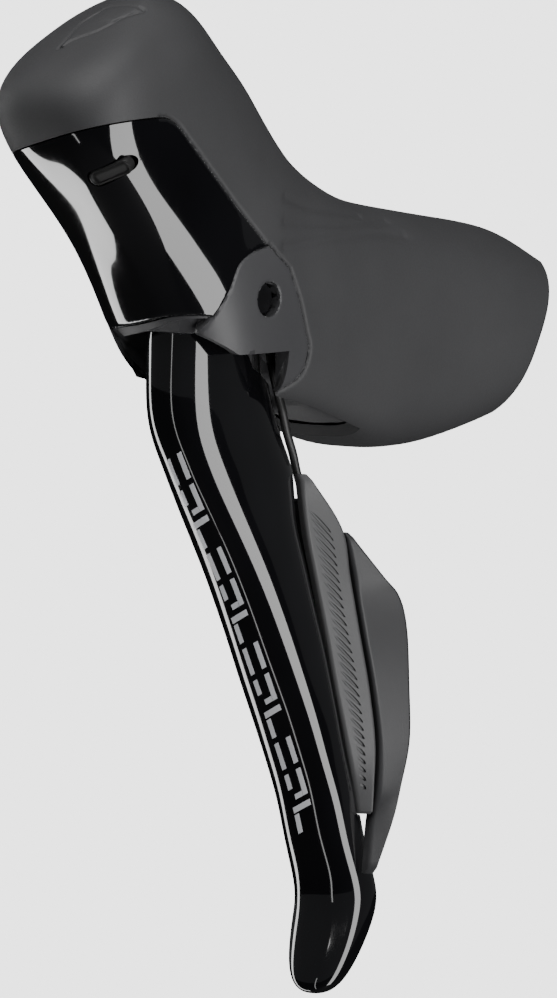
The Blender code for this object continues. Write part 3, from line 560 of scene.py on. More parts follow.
@dataclass
class BracketForm:
    """Outer form that the hood, name plate and ears share: sections from the bar to the horn's top."""

    stations: list[tuple[float, ...]] = field(default_factory=lambda: [
        # top y, z; bottom y, z; half width; middle x; how square the bottom is
        (84.0, 5.0, 66.5, -27.0, 18.0, 1.0, 2.8),
        (75.0, 9.2, 58.0, -29.6, 18.0, 0.5, 2.8),
        (61.0, 11.4, 48.0, -30.2, 17.0, 0.0, 2.9),
        (47.0, 13.7, 38.0, -29.9, 16.0, 0.0, 3.3),
        (35.0, 15.7, 31.0, -27.0, 15.0, 0.0, 4.0),
        (27.2, 18.4, 24.0, -24.5, 14.5, 0.0, 4.5),
        (20.2, 21.8, 15.0, -21.5, 14.5, 0.0, 4.5),
        (15.6, 25.0, 4.5, -19.3, 14.7, -0.4, 4.5),
        (12.2, 28.2, -6.5, -16.5, 15.4, -0.8, 4.2),
        (9.5, 31.5, -14.4, -8.6, 15.5, -1.2, 3.1),
        (6.5, 35.5, -19.4, -0.2, 15.5, -1.8, 2.8),
        (3.0, 40.0, -26.1, 9.8, 15.7, -2.2, 2.8),
        (-1.0, 44.0, -34.5, 19.2, 16.0, -2.8, 3.0),
        (-5.0, 48.0, -41.5, 27.6, 16.2, -3.2, 3.2),
        (-8.5, 51.5, -44.8, 34.6, 15.8, -3.3, 3.0),
        (-12.0, 54.0, -43.2, 40.5, 13.2, -2.6, 2.7),
        (-15.5, 55.3, -37.5, 45.2, 9.0, -1.2, 2.6),
        (-19.5, 55.7, -29.0, 50.6, 4.0, 0.0, 2.6),
    ])
    top_roundness: float = 2.6
    horn_axis: Vector = field(default_factory=lambda: Vector((0.0, -0.45, 0.893)).normalized())
    ahead: float = -70.0
    crown_height: float = 0.5
    crown_angles: tuple[float, ...] = (25.0, 50.0, 70.0, 86.0)
    plate_lean: float = 0.265   # rise of the plate's top edge per millimetre outboard
    plate_top: float = 30.5
    side_edge_run: float = 1.05
    shoulder: tuple[tuple[float, float], ...] = (
        (-3.5, 0.0), (-1.6, -0.12), (-0.25, -0.62), (1.25, -1.4), (2.53, -2.41))
    ear_front: tuple[tuple[float, float], ...] = (
        (-0.6, 9.6), (-4.4, 8.7), (-8.0, 6.6), (-10.0, 2.2), (-13.5, -4.7))
    ear_rear: tuple[tuple[float, float], ...] = (
        (5.8, 5.2), (8.8, -0.6), (10.7, -6.2), (11.7, -9.8), (10.2, -14.3), (5.8, -17.2))
    lever_slot: tuple[tuple[float, float], ...] = (
        (-13.4, -45.0), (-13.4, -5.7), (-10.6, -5.2), (-10.6, 6.0), (-7.0, 11.0), (8.0, 11.5),
        (12.5, 6.0), (14.5, -3.0), (19.0, -9.5), (24.5, -16.5), (30.5, -22.0), (35.0, -45.0))
    side_opening: tuple[tuple[float, float], ...] = (
        (-40.0, -6.4), (-17.0, -5.2), (-13.5, -5.6), (-6.5, -9.7), (6.2, -9.7), (6.2, -15.8),
        (4.0, -40.0), (-40.0, -40.0))
    slot_half_width: float = 10.8
    inboard_cheek: float = -11.6

    def arc(self, exponent: float, width: float, height: float, count: int) -> Array:
        """A quarter of a superellipse from its side to its end, in even steps along the curve."""
        angle = np.linspace(0, math.pi / 2, 160)
        curve = np.stack([width * np.cos(angle) ** (2 / exponent),
                          height * np.sin(angle) ** (2 / exponent)], 1)
        run = np.concatenate([[0], np.cumsum(np.linalg.norm(np.diff(curve, axis=0), axis=1))])
        even = np.linspace(0, run[-1], count + 1)
        return np.stack([np.interp(even, run, curve[:, k]) for k in (0, 1)], 1)

    def ring(self, station: Sequence[float], inset: float, quarter: int) -> Array:
        """One section in the slanting plane through its top and bottom edges."""
        top = np.array([station[5], station[0], station[1]])
        bottom = np.array([station[5], station[2], station[3]])
        middle, reach = (top + bottom) / 2, (top - bottom) / 2
        height = np.linalg.norm(reach)
        up = reach / height
        width = max(station[4] - inset, 0.2)
        height = max(height - inset, 0.2)
        upper = self.arc(self.top_roundness, width, height, quarter)
        lower = self.arc(station[6], width, height, quarter)
        flip = np.array([-1.0, 1.0])
        flat = np.vstack([upper[:-1], upper[:0:-1] * flip, lower[:-1] * -1, lower[:0:-1] * flip * -1])
        return middle + np.outer(flat[:, 0], (1, 0, 0)) + np.outer(flat[:, 1], up)

    def skin(self, name: str, inset: float, steps: int = 6, quarter: int = 26,
             last: int | None = None, extend: float = 0.0) -> bpy.types.Object:
        """The outer form moved inward.

        Args:
            name: Name of the new object.
            inset: How far inward, in millimetres.
            steps: Rings between stations.
            quarter: Points in a quarter of a ring.
            last: Station to stop before.
            extend: Share of a step by which the first ring is pushed out past the form's rear end.

        Returns:
            A closed solid.
        """
        rows = eased(flow(self.stations[:last], steps), steps)
        rings = [self.ring(row, inset, quarter) for row in rows]
        if extend:
            rings.insert(0, rings[0] + (rings[0] - rings[1]) * extend)
        if last is None:
            rings += self.crown(rings[-1])
        return skinned(name, np.array(rings))

    def crown(self, rim: Array) -> list[Array]:
        """Rings that close the horn's top with a low dome above the given ring."""
        middle = rim.mean(0)
        rise = np.array(self.horn_axis) * self.crown_height
        return [middle + (rim - middle) * math.cos(a) + rise * math.sin(a)
                for a in np.radians(self.crown_angles)]

    def plate_outline(self, x: Array, margin: float, rim: tuple[float, float]) -> Array:
        """Closed side outline of the name plate at each x, grown by a margin, as (n, k, 2)."""
        x = np.atleast_1d(x)
        edge_y, edge_z = self.ear_front[0]
        top = self.plate_top + self.plate_lean * x + margin
        corner = edge_y + margin - self.side_edge_run * (top - edge_z)
        shoulder = [(corner + dy, top + dz) for dy, dz in self.shoulder]
        front = [(y + margin + 0 * x, z + 0 * x) for y, z in flow(self.ear_front, 4)]
        ends = [(rim[0] + 0 * x, rim[1] + 0 * x), (self.ahead + 0 * x, rim[1] + 0 * x), (self.ahead + 0 * x, top)]
        return np.stack([np.stack(p, 1) for p in shoulder + front + ends], 1)

    def ear_outline(self, grow: float) -> list[tuple[float, float]]:
        """Side outline of an ear, grown by a margin and open downwards."""
        front = [(y - grow, z) for y, z in flow(self.ear_front, 4)[4:].tolist()]
        back = flow([(y + grow, z) for y, z in reversed(self.ear_rear)], 4).tolist()
        return [(0.0, 9.6 + grow)] + front + [(-14.0 - grow, -12.0), (4.0 + grow, -22.0)] + back

    def plate_prism(self, name: str, margin: float, rim: tuple[float, float]) -> bpy.types.Object:
        """Solid that spans the name plate's outline from side to side."""
        low, high = (self.plate_outline(np.array([x]), margin, rim)[0].tolist()
                     for x in (-FAR, FAR))
        return prism(name, low, -FAR, FAR, high)

    def plate_distance(self, points: Array, margin: float, rim: tuple[float, float]) -> Array:
        """Distance of points to the plate's outline, seen from the side."""
        outline = self.plate_outline(points[:, 0], margin, rim)
        return segment_distance(points[:, 1:], outline[:, :-2])

    def ear_distance(self, points: Array, grow: float) -> Array:
        """Distance of points to an ear's outline, seen from the side."""
        outline = np.array(self.ear_outline(grow))
        return segment_distance(points[:, 1:], np.vstack([outline, outline[:1]]))


FORM = BracketForm()


# ---------------------------------------------------------------- bracket side


@dataclass
class HoodCover:
    """Rubber hood with rolled edges, side creases and an inlaid leaf on the horn's top."""

    wall: float = 1.8
    gap: float = 0.3
    lip_radius: float = 0.8
    window_rim: tuple[float, float] = (-13.3, -12.0)
    crease_depth: float = 0.4
    crease_width: float = 1.5
    leaf_depth: float = 0.3
    leaf_width: float = 0.55
    creases: list[list[tuple[float, float, float]]] = field(default_factory=lambda: [
        [(13.5, 5.9, 17.8), (12.5, 15.3, 15.5), (10.0, 31.8, 13.1)],
        [(14.2, 5.0, 13.6), (12.5, 23.3, 12.1), (9.9, 40.0, 11.7)],
        [(14.4, 4.4, 9.1), (13.4, 20.9, 9.9), (12.0, 33.2, 9.9), (12.0, 42.7, 9.2)],
    ])
    leaf: list[tuple[float, float, float]] = field(default_factory=lambda: [
        (-5.3, -36.1, 45.9), (-5.6, -32.2, 48.6), (-5.6, -28.4, 50.5), (-4.4, -26.6, 51.8),
        (-2.4, -25.3, 52.6), (1.5, -24.6, 52.9), (5.0, -24.5, 52.6), (2.6, -27.7, 51.2),
        (0.0, -31.3, 49.2), (-3.7, -33.8, 47.5), (-5.3, -36.1, 45.9)])

    def line_distance(self, points: Array, lines: Sequence[Sequence[tuple[float, float, float]]]) -> Array:
        """Distance of points to the nearest of several lines on the surface."""
        return np.min([segment_distance(points, flow(line, 6)) for line in lines], axis=0)

    def edge_distance(self, points: Array) -> Array:
        """Distance of points to the hood's openings and its rear mouth."""
        openings = [FORM.plate_distance(points, self.gap, self.window_rim),
                    FORM.ear_distance(points, self.gap)]
        mouth = np.array([FORM.stations[0][0:2], FORM.stations[0][2:4]])
        beyond = 30.0 * (mouth[1] - mouth[0])
        openings.append(segment_distance(points[:, 1:], np.array([mouth[0] - beyond, mouth[1] + beyond])))
        return np.min(openings, axis=0)

    def detail_distance(self, points: Array) -> Array:
        """Distance to the nearest feature that needs a finer mesh."""
        return np.minimum(self.edge_distance(points), self.line_distance(points, self.creases + [self.leaf]))

    def relief(self, points: Array) -> Array:
        """Height that edges, creases and leaf take off the surface."""
        crease = self.line_distance(points, self.creases)
        leaf = self.line_distance(points, [self.leaf])
        lift = rounding(self.edge_distance(points), self.lip_radius)
        lift -= self.crease_depth * np.exp(-(crease / self.crease_width) ** 2 * 2)
        return lift - self.leaf_depth * np.exp(-(leaf / self.leaf_width) ** 2 * 2)

    def build(self) -> None:
        """Make the hood."""
        hood = FORM.skin("hood_skin", 0.0)
        refine(hood, self.detail_distance, (3.0, 1.7, 0.9))
        push(hood, self.relief)
        window = FORM.plate_prism("plate_window", self.gap, self.window_rim)
        carve(hood, Cut.TAKE,
              rod("bar_space", BAR.point(0, 0, -50.0), BAR.point(0, 0, 50.0), BAR.radius + self.wall, 96),
              FORM.skin("hood_inside", self.wall, 3, 16, last=-1, extend=3.0),
              prism("hood_slot", FORM.lever_slot, -FORM.slot_half_width, FORM.slot_half_width),
              prism("hood_side_opening", FORM.side_opening, -30.0, 30.0), window,
              prism("ear_window", FORM.ear_outline(self.gap), -30.0, 30.0))
        finish(hood, Body.BRACKET, "hood_rubber", ["hood_cover"], 38.0)


@dataclass
class Handlebar:
    """Where the handlebar runs through the hood."""

    radius: float = 12.0
    centre: tuple[float, float, float] = (0.0, 75.0, -11.0)
    tilt: float = math.radians(31.5)

    def point(self, x: float, back: float, up: float) -> Vector:
        """A point near the bar: outboard, rearward from and up along its centre line."""
        c, s = math.cos(self.tilt), math.sin(self.tilt)
        return Vector(self.centre) + Vector((x, c * back + s * up, c * up - s * back))


BAR = Handlebar()


@dataclass
class Plug:
    """Oblong rubber plug that closes the access hole in the name plate."""

    centre: Vector = field(default_factory=lambda: Vector((7.0, -36.4, 24.4)))
    out: Vector = field(default_factory=lambda: Vector((0.25, -0.86, -0.44)).normalized())
    half_run: float = 3.0
    radius: float = 1.5

    def solid(self, name: str, levels: Sequence[tuple[float, float]]) -> bpy.types.Object:
        """A round-ended bar given by (depth, growth) pairs along its outward direction."""
        along = Vector((0.95, 0.0, 0.30))
        along = (along - self.out * along.dot(self.out)).normalized()
        across = self.out.cross(along)
        angles = (np.arange(64) + 0.5) * math.pi / 32
        rings = []
        for depth, grow in levels:
            reach = self.radius + grow
            u = np.where(np.cos(angles) > 0, self.half_run, -self.half_run) + reach * np.cos(angles)
            v = reach * np.sin(angles)
            rings.append(np.array(self.centre + self.out * depth) + np.outer(u, along) + np.outer(v, across))
        return skinned(name, np.array(rings))

    def build(self) -> None:
        """Make the plug, with a dished face inside a raised rim."""
        levels = [(-1.6, -0.1), (-1.5, 0.0), (0.1, 0.0), (0.24, -0.05), (0.3, -0.2), (0.26, -0.35),
                  (-0.1, -0.5), (-0.2, -0.7), (-0.2, -1.2)]
        finish(self.solid("plug_insert", levels), Body.BRACKET, "seal_rubber", ["name_plate_plug"])


PLUG = Plug()


@dataclass
class NamePlate:
    """Gloss front plate whose lower rim dips towards both ears."""

    wall: float = 1.8
    edge_radius: float = 0.45
    deep_rim: tuple[float, float] = (-13.4, -10.0)
    rim: list[tuple[float, float]] = field(default_factory=lambda: [
        (-18.0, -8.8), (-13.0, -6.6), (-9.5, -5.4), (-4.0, -4.5), (0.3, -3.6), (5.8, -2.4), (11.0, -2.5),
        (14.5, -4.4), (18.0, -6.4)])

    def below(self, name: str, line: Outline) -> bpy.types.Object:
        """Solid that fills everything below a line of (x, z) points."""
        edge = flow(line, 5).tolist()
        outline = edge + [(edge[-1][0], -40.0), (edge[0][0], -40.0)]
        return skinned(name, np.array([[(x, y, z) for x, z in outline] for y in (-60.0, 0.0)]))

    def edge_distance(self, points: Array) -> Array:
        """Distance of points to the plate's side outline and its rim."""
        rim = segment_distance(points[:, ::2], flow(self.rim, 5))
        rim[points[:, 1] > 0] = FAR
        return np.minimum(FORM.plate_distance(points, 0.0, self.deep_rim), rim)

    def build(self) -> None:
        """Make the plate."""
        plate = FORM.skin("plate_shell", 0.0, 8, 34)
        refine(plate, self.edge_distance, (1.8, 0.9, 0.5))
        push(plate, lambda points: rounding(self.edge_distance(points), self.edge_radius))
        carve(plate, Cut.KEEP, FORM.plate_prism("plate_limit", 0.0, self.deep_rim))
        carve(plate, Cut.TAKE, FORM.skin("plate_inside", self.wall, 3, 16, last=-1),
              self.below("under_rim", self.rim),
              prism("plate_slot", FORM.lever_slot, -FORM.slot_half_width, FORM.slot_half_width),
              PLUG.solid("plug_hole", [(-6.0, 0.3), (12.0, 0.3)]))
        finish(plate, Body.BRACKET, "gloss_black", ["name_plate"], 40.0)


@dataclass
class BracketTrim:
    """Fine outer faces of the bracket: the two ears and the lip under the name plate."""

    ear_inset: float = 0.1
    ear_wall: float = 0.9
    edge_radius: float = 0.4
    hole_radius: float = 3.2
    lip_inset: float = 0.9
    lip_line: list[tuple[float, float]] = field(default_factory=lambda: [
        (-18.0, -10.6), (-13.0, -8.6), (-9.5, -7.2), (-4.0, -6.0), (0.3, -4.9), (5.8, -3.2), (11.0, -3.0),
        (14.5, -4.8), (18.0, -6.7)])

    def edge_distance(self, points: Array) -> Array:
        """Distance of points to an ear's outline and its axle hole, seen from the side."""
        hole = np.abs(np.linalg.norm(points[:, 1:], axis=1) - self.hole_radius)
        return np.minimum(FORM.ear_distance(points, 0.0), hole)

    def ear(self, name: str, low: float, high: float) -> bpy.types.Object:
        """One ear's outer face between two distances from the middle."""
        ear = FORM.skin(name, self.ear_inset, 8, 34)
        refine(ear, self.edge_distance, (1.8, 0.9))
        push(ear, lambda points: rounding(self.edge_distance(points), self.edge_radius))
        carve(ear, Cut.KEEP, prism("ear_limit", FORM.ear_outline(0.0), low, high))
        return carve(ear, Cut.TAKE, FORM.skin("ear_inside", self.ear_wall, 4, 20, last=-1),
                     prism("ear_opening", FORM.side_opening, FORM.inboard_cheek, 31.0),
                     rod("ear_hole", (-30, 0, 0), (30, 0, 0), self.hole_radius))

    def build(self, plate: NamePlate) -> None:
        """Make the ears and the lip."""
        ears = merge("bracket_ears", [self.ear("ear_inboard", -30.0, -8.0),
                                      self.ear("ear_outboard", 8.0, 30.0)])
        finish(ears, Body.BRACKET, "bracket_resin", sharp=40.0)
        lip = FORM.skin("bracket_lip", self.lip_inset, 8, 30)
        carve(lip, Cut.TAKE, FORM.skin("lip_inside", 2.1, 4, 20, last=-1))
        carve(lip, Cut.KEEP, FORM.plate_prism("lip_limit", -0.1, plate.deep_rim))
        carve(lip, Cut.KEEP, plate.below("lip_top", [(x, z - 0.15) for x, z in plate.rim]))
        carve(lip, Cut.TAKE, plate.below("lip_bottom", self.lip_line))
        finish(lip, Body.BRACKET, "bracket_resin", sharp=40.0)


# ---------------------------------------------------------------- lever side


BLADE_SCREW_HEADS = ((1.0, 17.2, -26.0), (1.0, 18.3, -34.0))


@dataclass
class LeverBlade:
    """Lacquered blade, swept from the axle down to a rounded tip."""

    stations: list[tuple[float, ...]] = field(default_factory=lambda: [
        # z, middle x, middle y, half width, half depth
        (-6.0, -0.5, -1.5, 7.5, 10.5), (-15.0, 0.0, 0.0, 7.8, 13.0), (-23.0, 0.2, 1.0, 8.0, 13.8),
        (-30.0, 1.0, 4.0, 8.0, 13.8), (-34.0, 1.4, 5.4, 8.0, 13.4), (-41.5, 2.2, 6.8, 8.0, 10.8),
        (-48.5, 3.0, 9.5, 8.0, 9.8), (-56.0, 3.8, 11.8, 8.0, 8.6), (-63.5, 4.6, 14.3, 8.0, 8.0),
        (-71.0, 5.4, 16.2, 8.0, 7.0), (-78.0, 6.2, 18.2, 7.8, 6.2), (-85.5, 7.0, 20.1, 7.5, 5.5),
        (-93.0, 7.8, 22.6, 7.5, 5.5), (-100.0, 8.5, 23.5, 7.5, 5.3), (-107.0, 9.3, 25.4, 7.8, 5.2),
        (-111.0, 9.7, 25.5, 7.8, 5.3), (-114.5, 10.1, 23.9, 7.7, 5.0), (-118.0, 10.5, 21.9, 7.3, 4.5),
        (-121.5, 10.9, 19.8, 6.5, 4.0), (-125.0, 11.3, 17.8, 5.0, 3.2), (-127.0, 11.4, 17.0, 2.6, 1.9),
        (-127.3, 11.4, 17.0, 0.3, 0.3),
    ])
    squareness: float = 2.7
    top_cut: tuple[tuple[float, float], ...] = (
        (-3.0, 5.0), (-3.0, -5.0), (2.0, -9.0), (4.0, -13.0), (15.0, -19.0), (40.0, -19.0), (40.0, 5.0))
    block: tuple[tuple[float, float], ...] = (
        (-7.9, 1.0), (-7.6, -12.0), (-5.8, -24.0), (-1.8, -38.3), (11.3, -38.3), (12.8, -24.0), (8.8, -14.0),
        (7.9, 1.0))
    block_half_width: float = 5.8
    boss_radius: float = 8.5
    mark_start: tuple[float, float] = (0.6, -28.0)
    mark_end: tuple[float, float] = (9.0, -98.5)
    mark_cells: int = 12
    mark_width: float = 4.3
    mark_slant: float = 0.25
    mark_strokes: tuple[tuple[tuple[float, float, float, float], ...], ...] = (
        # each cell's strokes: from and to across the blade, from and to along it, as shares of the cell
        ((-0.5, -0.24, 0.04, 0.86), (0.24, 0.5, 0.04, 0.86)),
        ((-0.5, -0.24, 0.04, 0.5), (0.24, 0.5, 0.04, 0.86), (-0.22, 0.22, 0.7, 0.86)),
        ((-0.5, 0.5, 0.04, 0.22), (-0.5, -0.24, 0.28, 0.86)),
    )

    def skin(self, name: str, grow: float, steps: int = 5, quarter: int = 18) -> bpy.types.Object:
        """The blade's outer form, grown by a distance."""
        rings = []
        for z, x, y, width, depth in eased(flow(self.stations, steps), steps):
            arc = FORM.arc(self.squareness, max(width + grow, 0.1), max(depth + grow, 0.1), quarter)
            flip = np.array([-1.0, 1.0])
            flat = np.vstack([arc[:-1], arc[:0:-1] * flip, -arc[:-1], -arc[:0:-1] * flip])
            rings.append(np.column_stack([x + flat[:, 0], y + flat[:, 1], np.full(len(flat), z)]))
        return skinned(name, np.array(rings))

    def marks(self) -> None:
        """Silver strokes printed down the front."""
        start, end = np.array(self.mark_start), np.array(self.mark_end)
        pitch = np.linalg.norm(end - start) / self.mark_cells
        down = (end - start) / np.linalg.norm(end - start)
        across = np.array((-down[1], down[0]))
        bars = []
        for cell in range(self.mark_cells):
            for left, right, near, far in self.mark_strokes[cell % len(self.mark_strokes)]:
                corners = []
                for u, v in ((left, near), (right, near), (right, far), (left, far)):
                    corners.append(start + across * u * self.mark_width
                                   + down * pitch * (cell + v - u * self.mark_slant))
                rings = [[(x, y - 0.2 * (z + 28), z) for x, z in corners] for y in (-20.0, 8.0)]
                bars.append(skinned("mark_bar", np.array(rings)))
        print_film = self.skin("blade_marks", 0.04)
        carve(print_film, Cut.KEEP, merge("mark_bars", bars))
        carve(print_film, Cut.SHAVE, self.skin("blade_core", -0.15))
        finish(print_film, Body.LEVER, "gloss_black", sharp=50.0, look="silver_print")

    def build(self, switch_space: bpy.types.Object) -> None:
        """Make the blade and its marks."""
        blade = self.skin("blade_shell", 0.0)
        socket = prism("block_socket", self.block, -self.block_half_width, self.block_half_width)
        tools = [prism("blade_top", self.top_cut, -30.0, 30.0),
                 rod("boss_space", (-30, 0, 0), (30, 0, 0), self.boss_radius),
                 socket, switch_space, rod("reach_hole", (0, 40, -20), (0, 0, -20), 1.8, 32),
                 rod("switch_thread", (3.2, 40, -42), (3.2, 0, -42), 1.3, 32)]
        for x, y, z in BLADE_SCREW_HEADS:
            tools.append(rod("screw_hole", (x, 40, z), (x, 4, z), 1.8, 32))
            tools.append(rod("screw_recess", (x, 40, z), (x, y - 2.2, z), 2.9, 48))
        carve(blade, Cut.TAKE, *tools)
        finish(blade, Body.LEVER, "gloss_black", ["lever_blade"], 35.0)
        self.marks()


@dataclass
class Paddle:
    """One shift button: a face between two edges, with lugs on a hinge pin behind it."""

    name: str
    body: Body
    slot: str
    rows: list[tuple[float, ...]]           # z, front edge's x and y, rear edge's x and y
    hinge_share: float
    thickness: float = 2.0
    pin_depth: float = 3.4
    edge_radius: float = 0.7
    inward: Vector = field(default_factory=lambda: Vector((-0.948, 0.318, 0.0)))

    def edges(self, z: float) -> tuple[Array, Array]:
        """Front and rear edge of the face at a height."""
        table = np.array(self.rows)[::-1]
        row = [np.interp(z, table[:, 0], table[:, k]) for k in range(1, 5)]
        return np.array([row[0], row[1], z]), np.array([row[2], row[3], z])

    def behind(self, z: float, share: float, depth: float) -> Vector:
        """A point behind the face: share of the way to its rear edge, and how deep."""
        front, rear = self.edges(z)
        return Vector(front + (rear - front) * share) + self.inward * depth

    def pin_span(self, high: float, low: float) -> list[Vector]:
        """Ends of the hinge line between two heights."""
        ends = [self.behind(z, self.hinge_share, self.pin_depth) for z in (-60.0, -84.0)]
        run = ends[1] - ends[0]
        return [ends[0] + run * (z - ends[0].z) / run.z for z in (high, low)]

    def skin(self, steps: int = 9, across: int = 40) -> bpy.types.Object:
        """The paddle with rounded edges."""
        rows = flow(self.rows, steps)
        share = (1 - np.cos(np.linspace(0, math.pi, across))) / 2
        inward = np.array(self.inward)
        rings = []
        for z, fx, fy, rx, ry in rows:
            front, rear = np.array([fx, fy, z]), np.array([rx, ry, z])
            width = np.linalg.norm(rear - front)
            ends = min(self.rows[0][0] - z, z - self.rows[-1][0])
            radius = min(self.edge_radius, width / 2.5)
            rim = np.minimum(share, 1 - share) * width
            sink = -rounding(rim, radius) - rounding(np.full(across, max(ends, 0.0)), self.edge_radius)
            sink = np.minimum(sink, self.thickness * 0.8)
            face = front + np.outer(share, rear - front) + np.outer(sink, inward)
            back = front + np.outer(share[::-1], rear - front) + inward * self.thickness
            rings.append(np.vstack([face, back]))
        return skinned(self.name + "_paddle", np.array(rings))

    def build(self, grooves: Callable[["Paddle"], bpy.types.Object] | None = None) -> None:
        """Make the paddle and its lugs."""
        paddle = self.skin()
        if grooves:
            carve(paddle, Cut.TAKE, grooves(self))
        lugs = []
        for high, low in ((-57.5, -63.0), (-75.5, -81.0)):
            lug = rod(self.name + "_lug", *self.pin_span(high, low), 1.7, 48)
            lugs.append(carve(lug, Cut.TAKE, rod("lug_bore", *self.pin_span(-50.0, -100.0), 1.0, 32)))
        finish(merge(self.name + "_fine", [paddle] + lugs), self.body, self.slot, [self.name], 38.0)


FRONT_PADDLE = Paddle("front_button", Body.FRONT_BUTTON, "button_grey", [
    (-33.0, 8.6, 16.4, 9.9, 17.6), (-43.0, 9.8, 16.8, 12.4, 24.2), (-52.0, 10.8, 18.2, 13.6, 25.2),
    (-62.0, 12.0, 19.8, 14.9, 26.3), (-72.0, 13.0, 21.4, 15.9, 27.8), (-82.0, 14.0, 23.2, 17.0, 28.2),
    (-90.0, 14.8, 24.4, 17.8, 26.8), (-95.0, 15.4, 24.6, 18.2, 25.8)], 0.25)
REAR_PADDLE = Paddle("rear_button", Body.REAR_BUTTON, "button_black", [
    (-44.0, 12.7, 24.9, 12.9, 25.8), (-52.0, 13.8, 25.9, 16.6, 31.1), (-56.0, 14.3, 26.3, 17.3, 35.0),
    (-62.0, 15.1, 27.0, 17.9, 36.5), (-72.0, 16.1, 28.5, 18.9, 35.9), (-82.0, 17.2, 28.9, 20.0, 34.6),
    (-90.0, 18.0, 27.5, 20.8, 31.0), (-96.0, 17.4, 26.2, 21.4, 27.8), (-105.5, 19.2, 22.6, 20.6, 23.4)], 0.45)


def switch_space(grow: float) -> bpy.types.Object:
    """The room behind the blade for the switch unit and the front button."""
    rings = []
    for z, front_x, front_y, rear_x, rear_y in FRONT_PADDLE.rows:
        low_x = front_x - 10.5 - grow
        rings.append([(front_x + 1.0 + grow, front_y - grow, z), (rear_x + 4.0, rear_y + 14.0, z),
                      (low_x, rear_y + 14.0, z), (low_x, front_y + 2.2 - grow, z)])
    rings.insert(0, [(x, y, z + 2 * grow) for x, y, z in rings[0]])
    rings.append([(x, y, z - grow) for x, y, z in rings[-1]])
    return skinned("switch_space", np.array(rings))


# ---------------------------------------------------------------- repeated parts, by geometry nodes


class NodeForm:
    """A geometry node tree with named inputs, used through a modifier on a carrier mesh."""

    def __init__(self, name: str) -> None:
        """Start the tree with a geometry output."""
        self.tree = bpy.data.node_groups.new(name, "GeometryNodeTree")
        self.tree.interface.new_socket("Geometry", in_out="OUTPUT", socket_type="NodeSocketGeometry")
        self.names: dict[str, str] = {}

    def add(self, kind: str, inputs: dict[str, object] | None = None, **settings: object) -> bpy.types.Node:
        """Add a node, set its properties, and set or link its inputs."""
        node = self.tree.nodes.new(kind)
        for name, value in settings.items():
            setattr(node, name, value)
        for name, value in (inputs or {}).items():
            if isinstance(value, bpy.types.NodeSocket):
                self.tree.links.new(value, node.inputs[name])
            else:
                node.inputs[name].default_value = value
        return node

    def inputs(self, sockets: dict[str, str]) -> bpy.types.Node:
        for name, kind in sockets.items():
            socket = self.tree.interface.new_socket(name, in_out="INPUT", socket_type=kind)
            self.names[name] = socket.identifier
        return self.tree.nodes.new("NodeGroupInput")

    def end(self, geometry: bpy.types.NodeSocket, slot: str) -> None:
        """Realise the instances, set the material and feed the output."""
        real = self.add("GeometryNodeRealizeInstances", {"Geometry": geometry})
        painted = self.add("GeometryNodeSetMaterial",
                           {"Geometry": real.outputs[0], "Material": PALETTE.get(slot)})
        self.add("NodeGroupOutput", {"Geometry": painted.outputs[0]})

    def run(self, carrier: bpy.types.Object, values: dict[str, object]) -> bpy.types.Object:
        """Run the tree on a carrier with the given input values and keep the mesh that it makes."""
        step = carrier.modifiers.new(self.tree.name, "NODES")
        step.node_group = self.tree
        for name, value in values.items():
            step[self.names[name]] = value
        return bake(carrier)


def math_node(form: NodeForm, how: str, first: object, second: object) -> bpy.types.NodeSocket:
    """Combine two values in a node tree."""
    node = form.add("ShaderNodeMath", operation=how)
    for socket, value in zip(node.inputs, (first, second)):
        if isinstance(value, bpy.types.NodeSocket):
            form.tree.links.new(value, socket)
        else:
            socket.default_value = value
    return node.outputs[0]


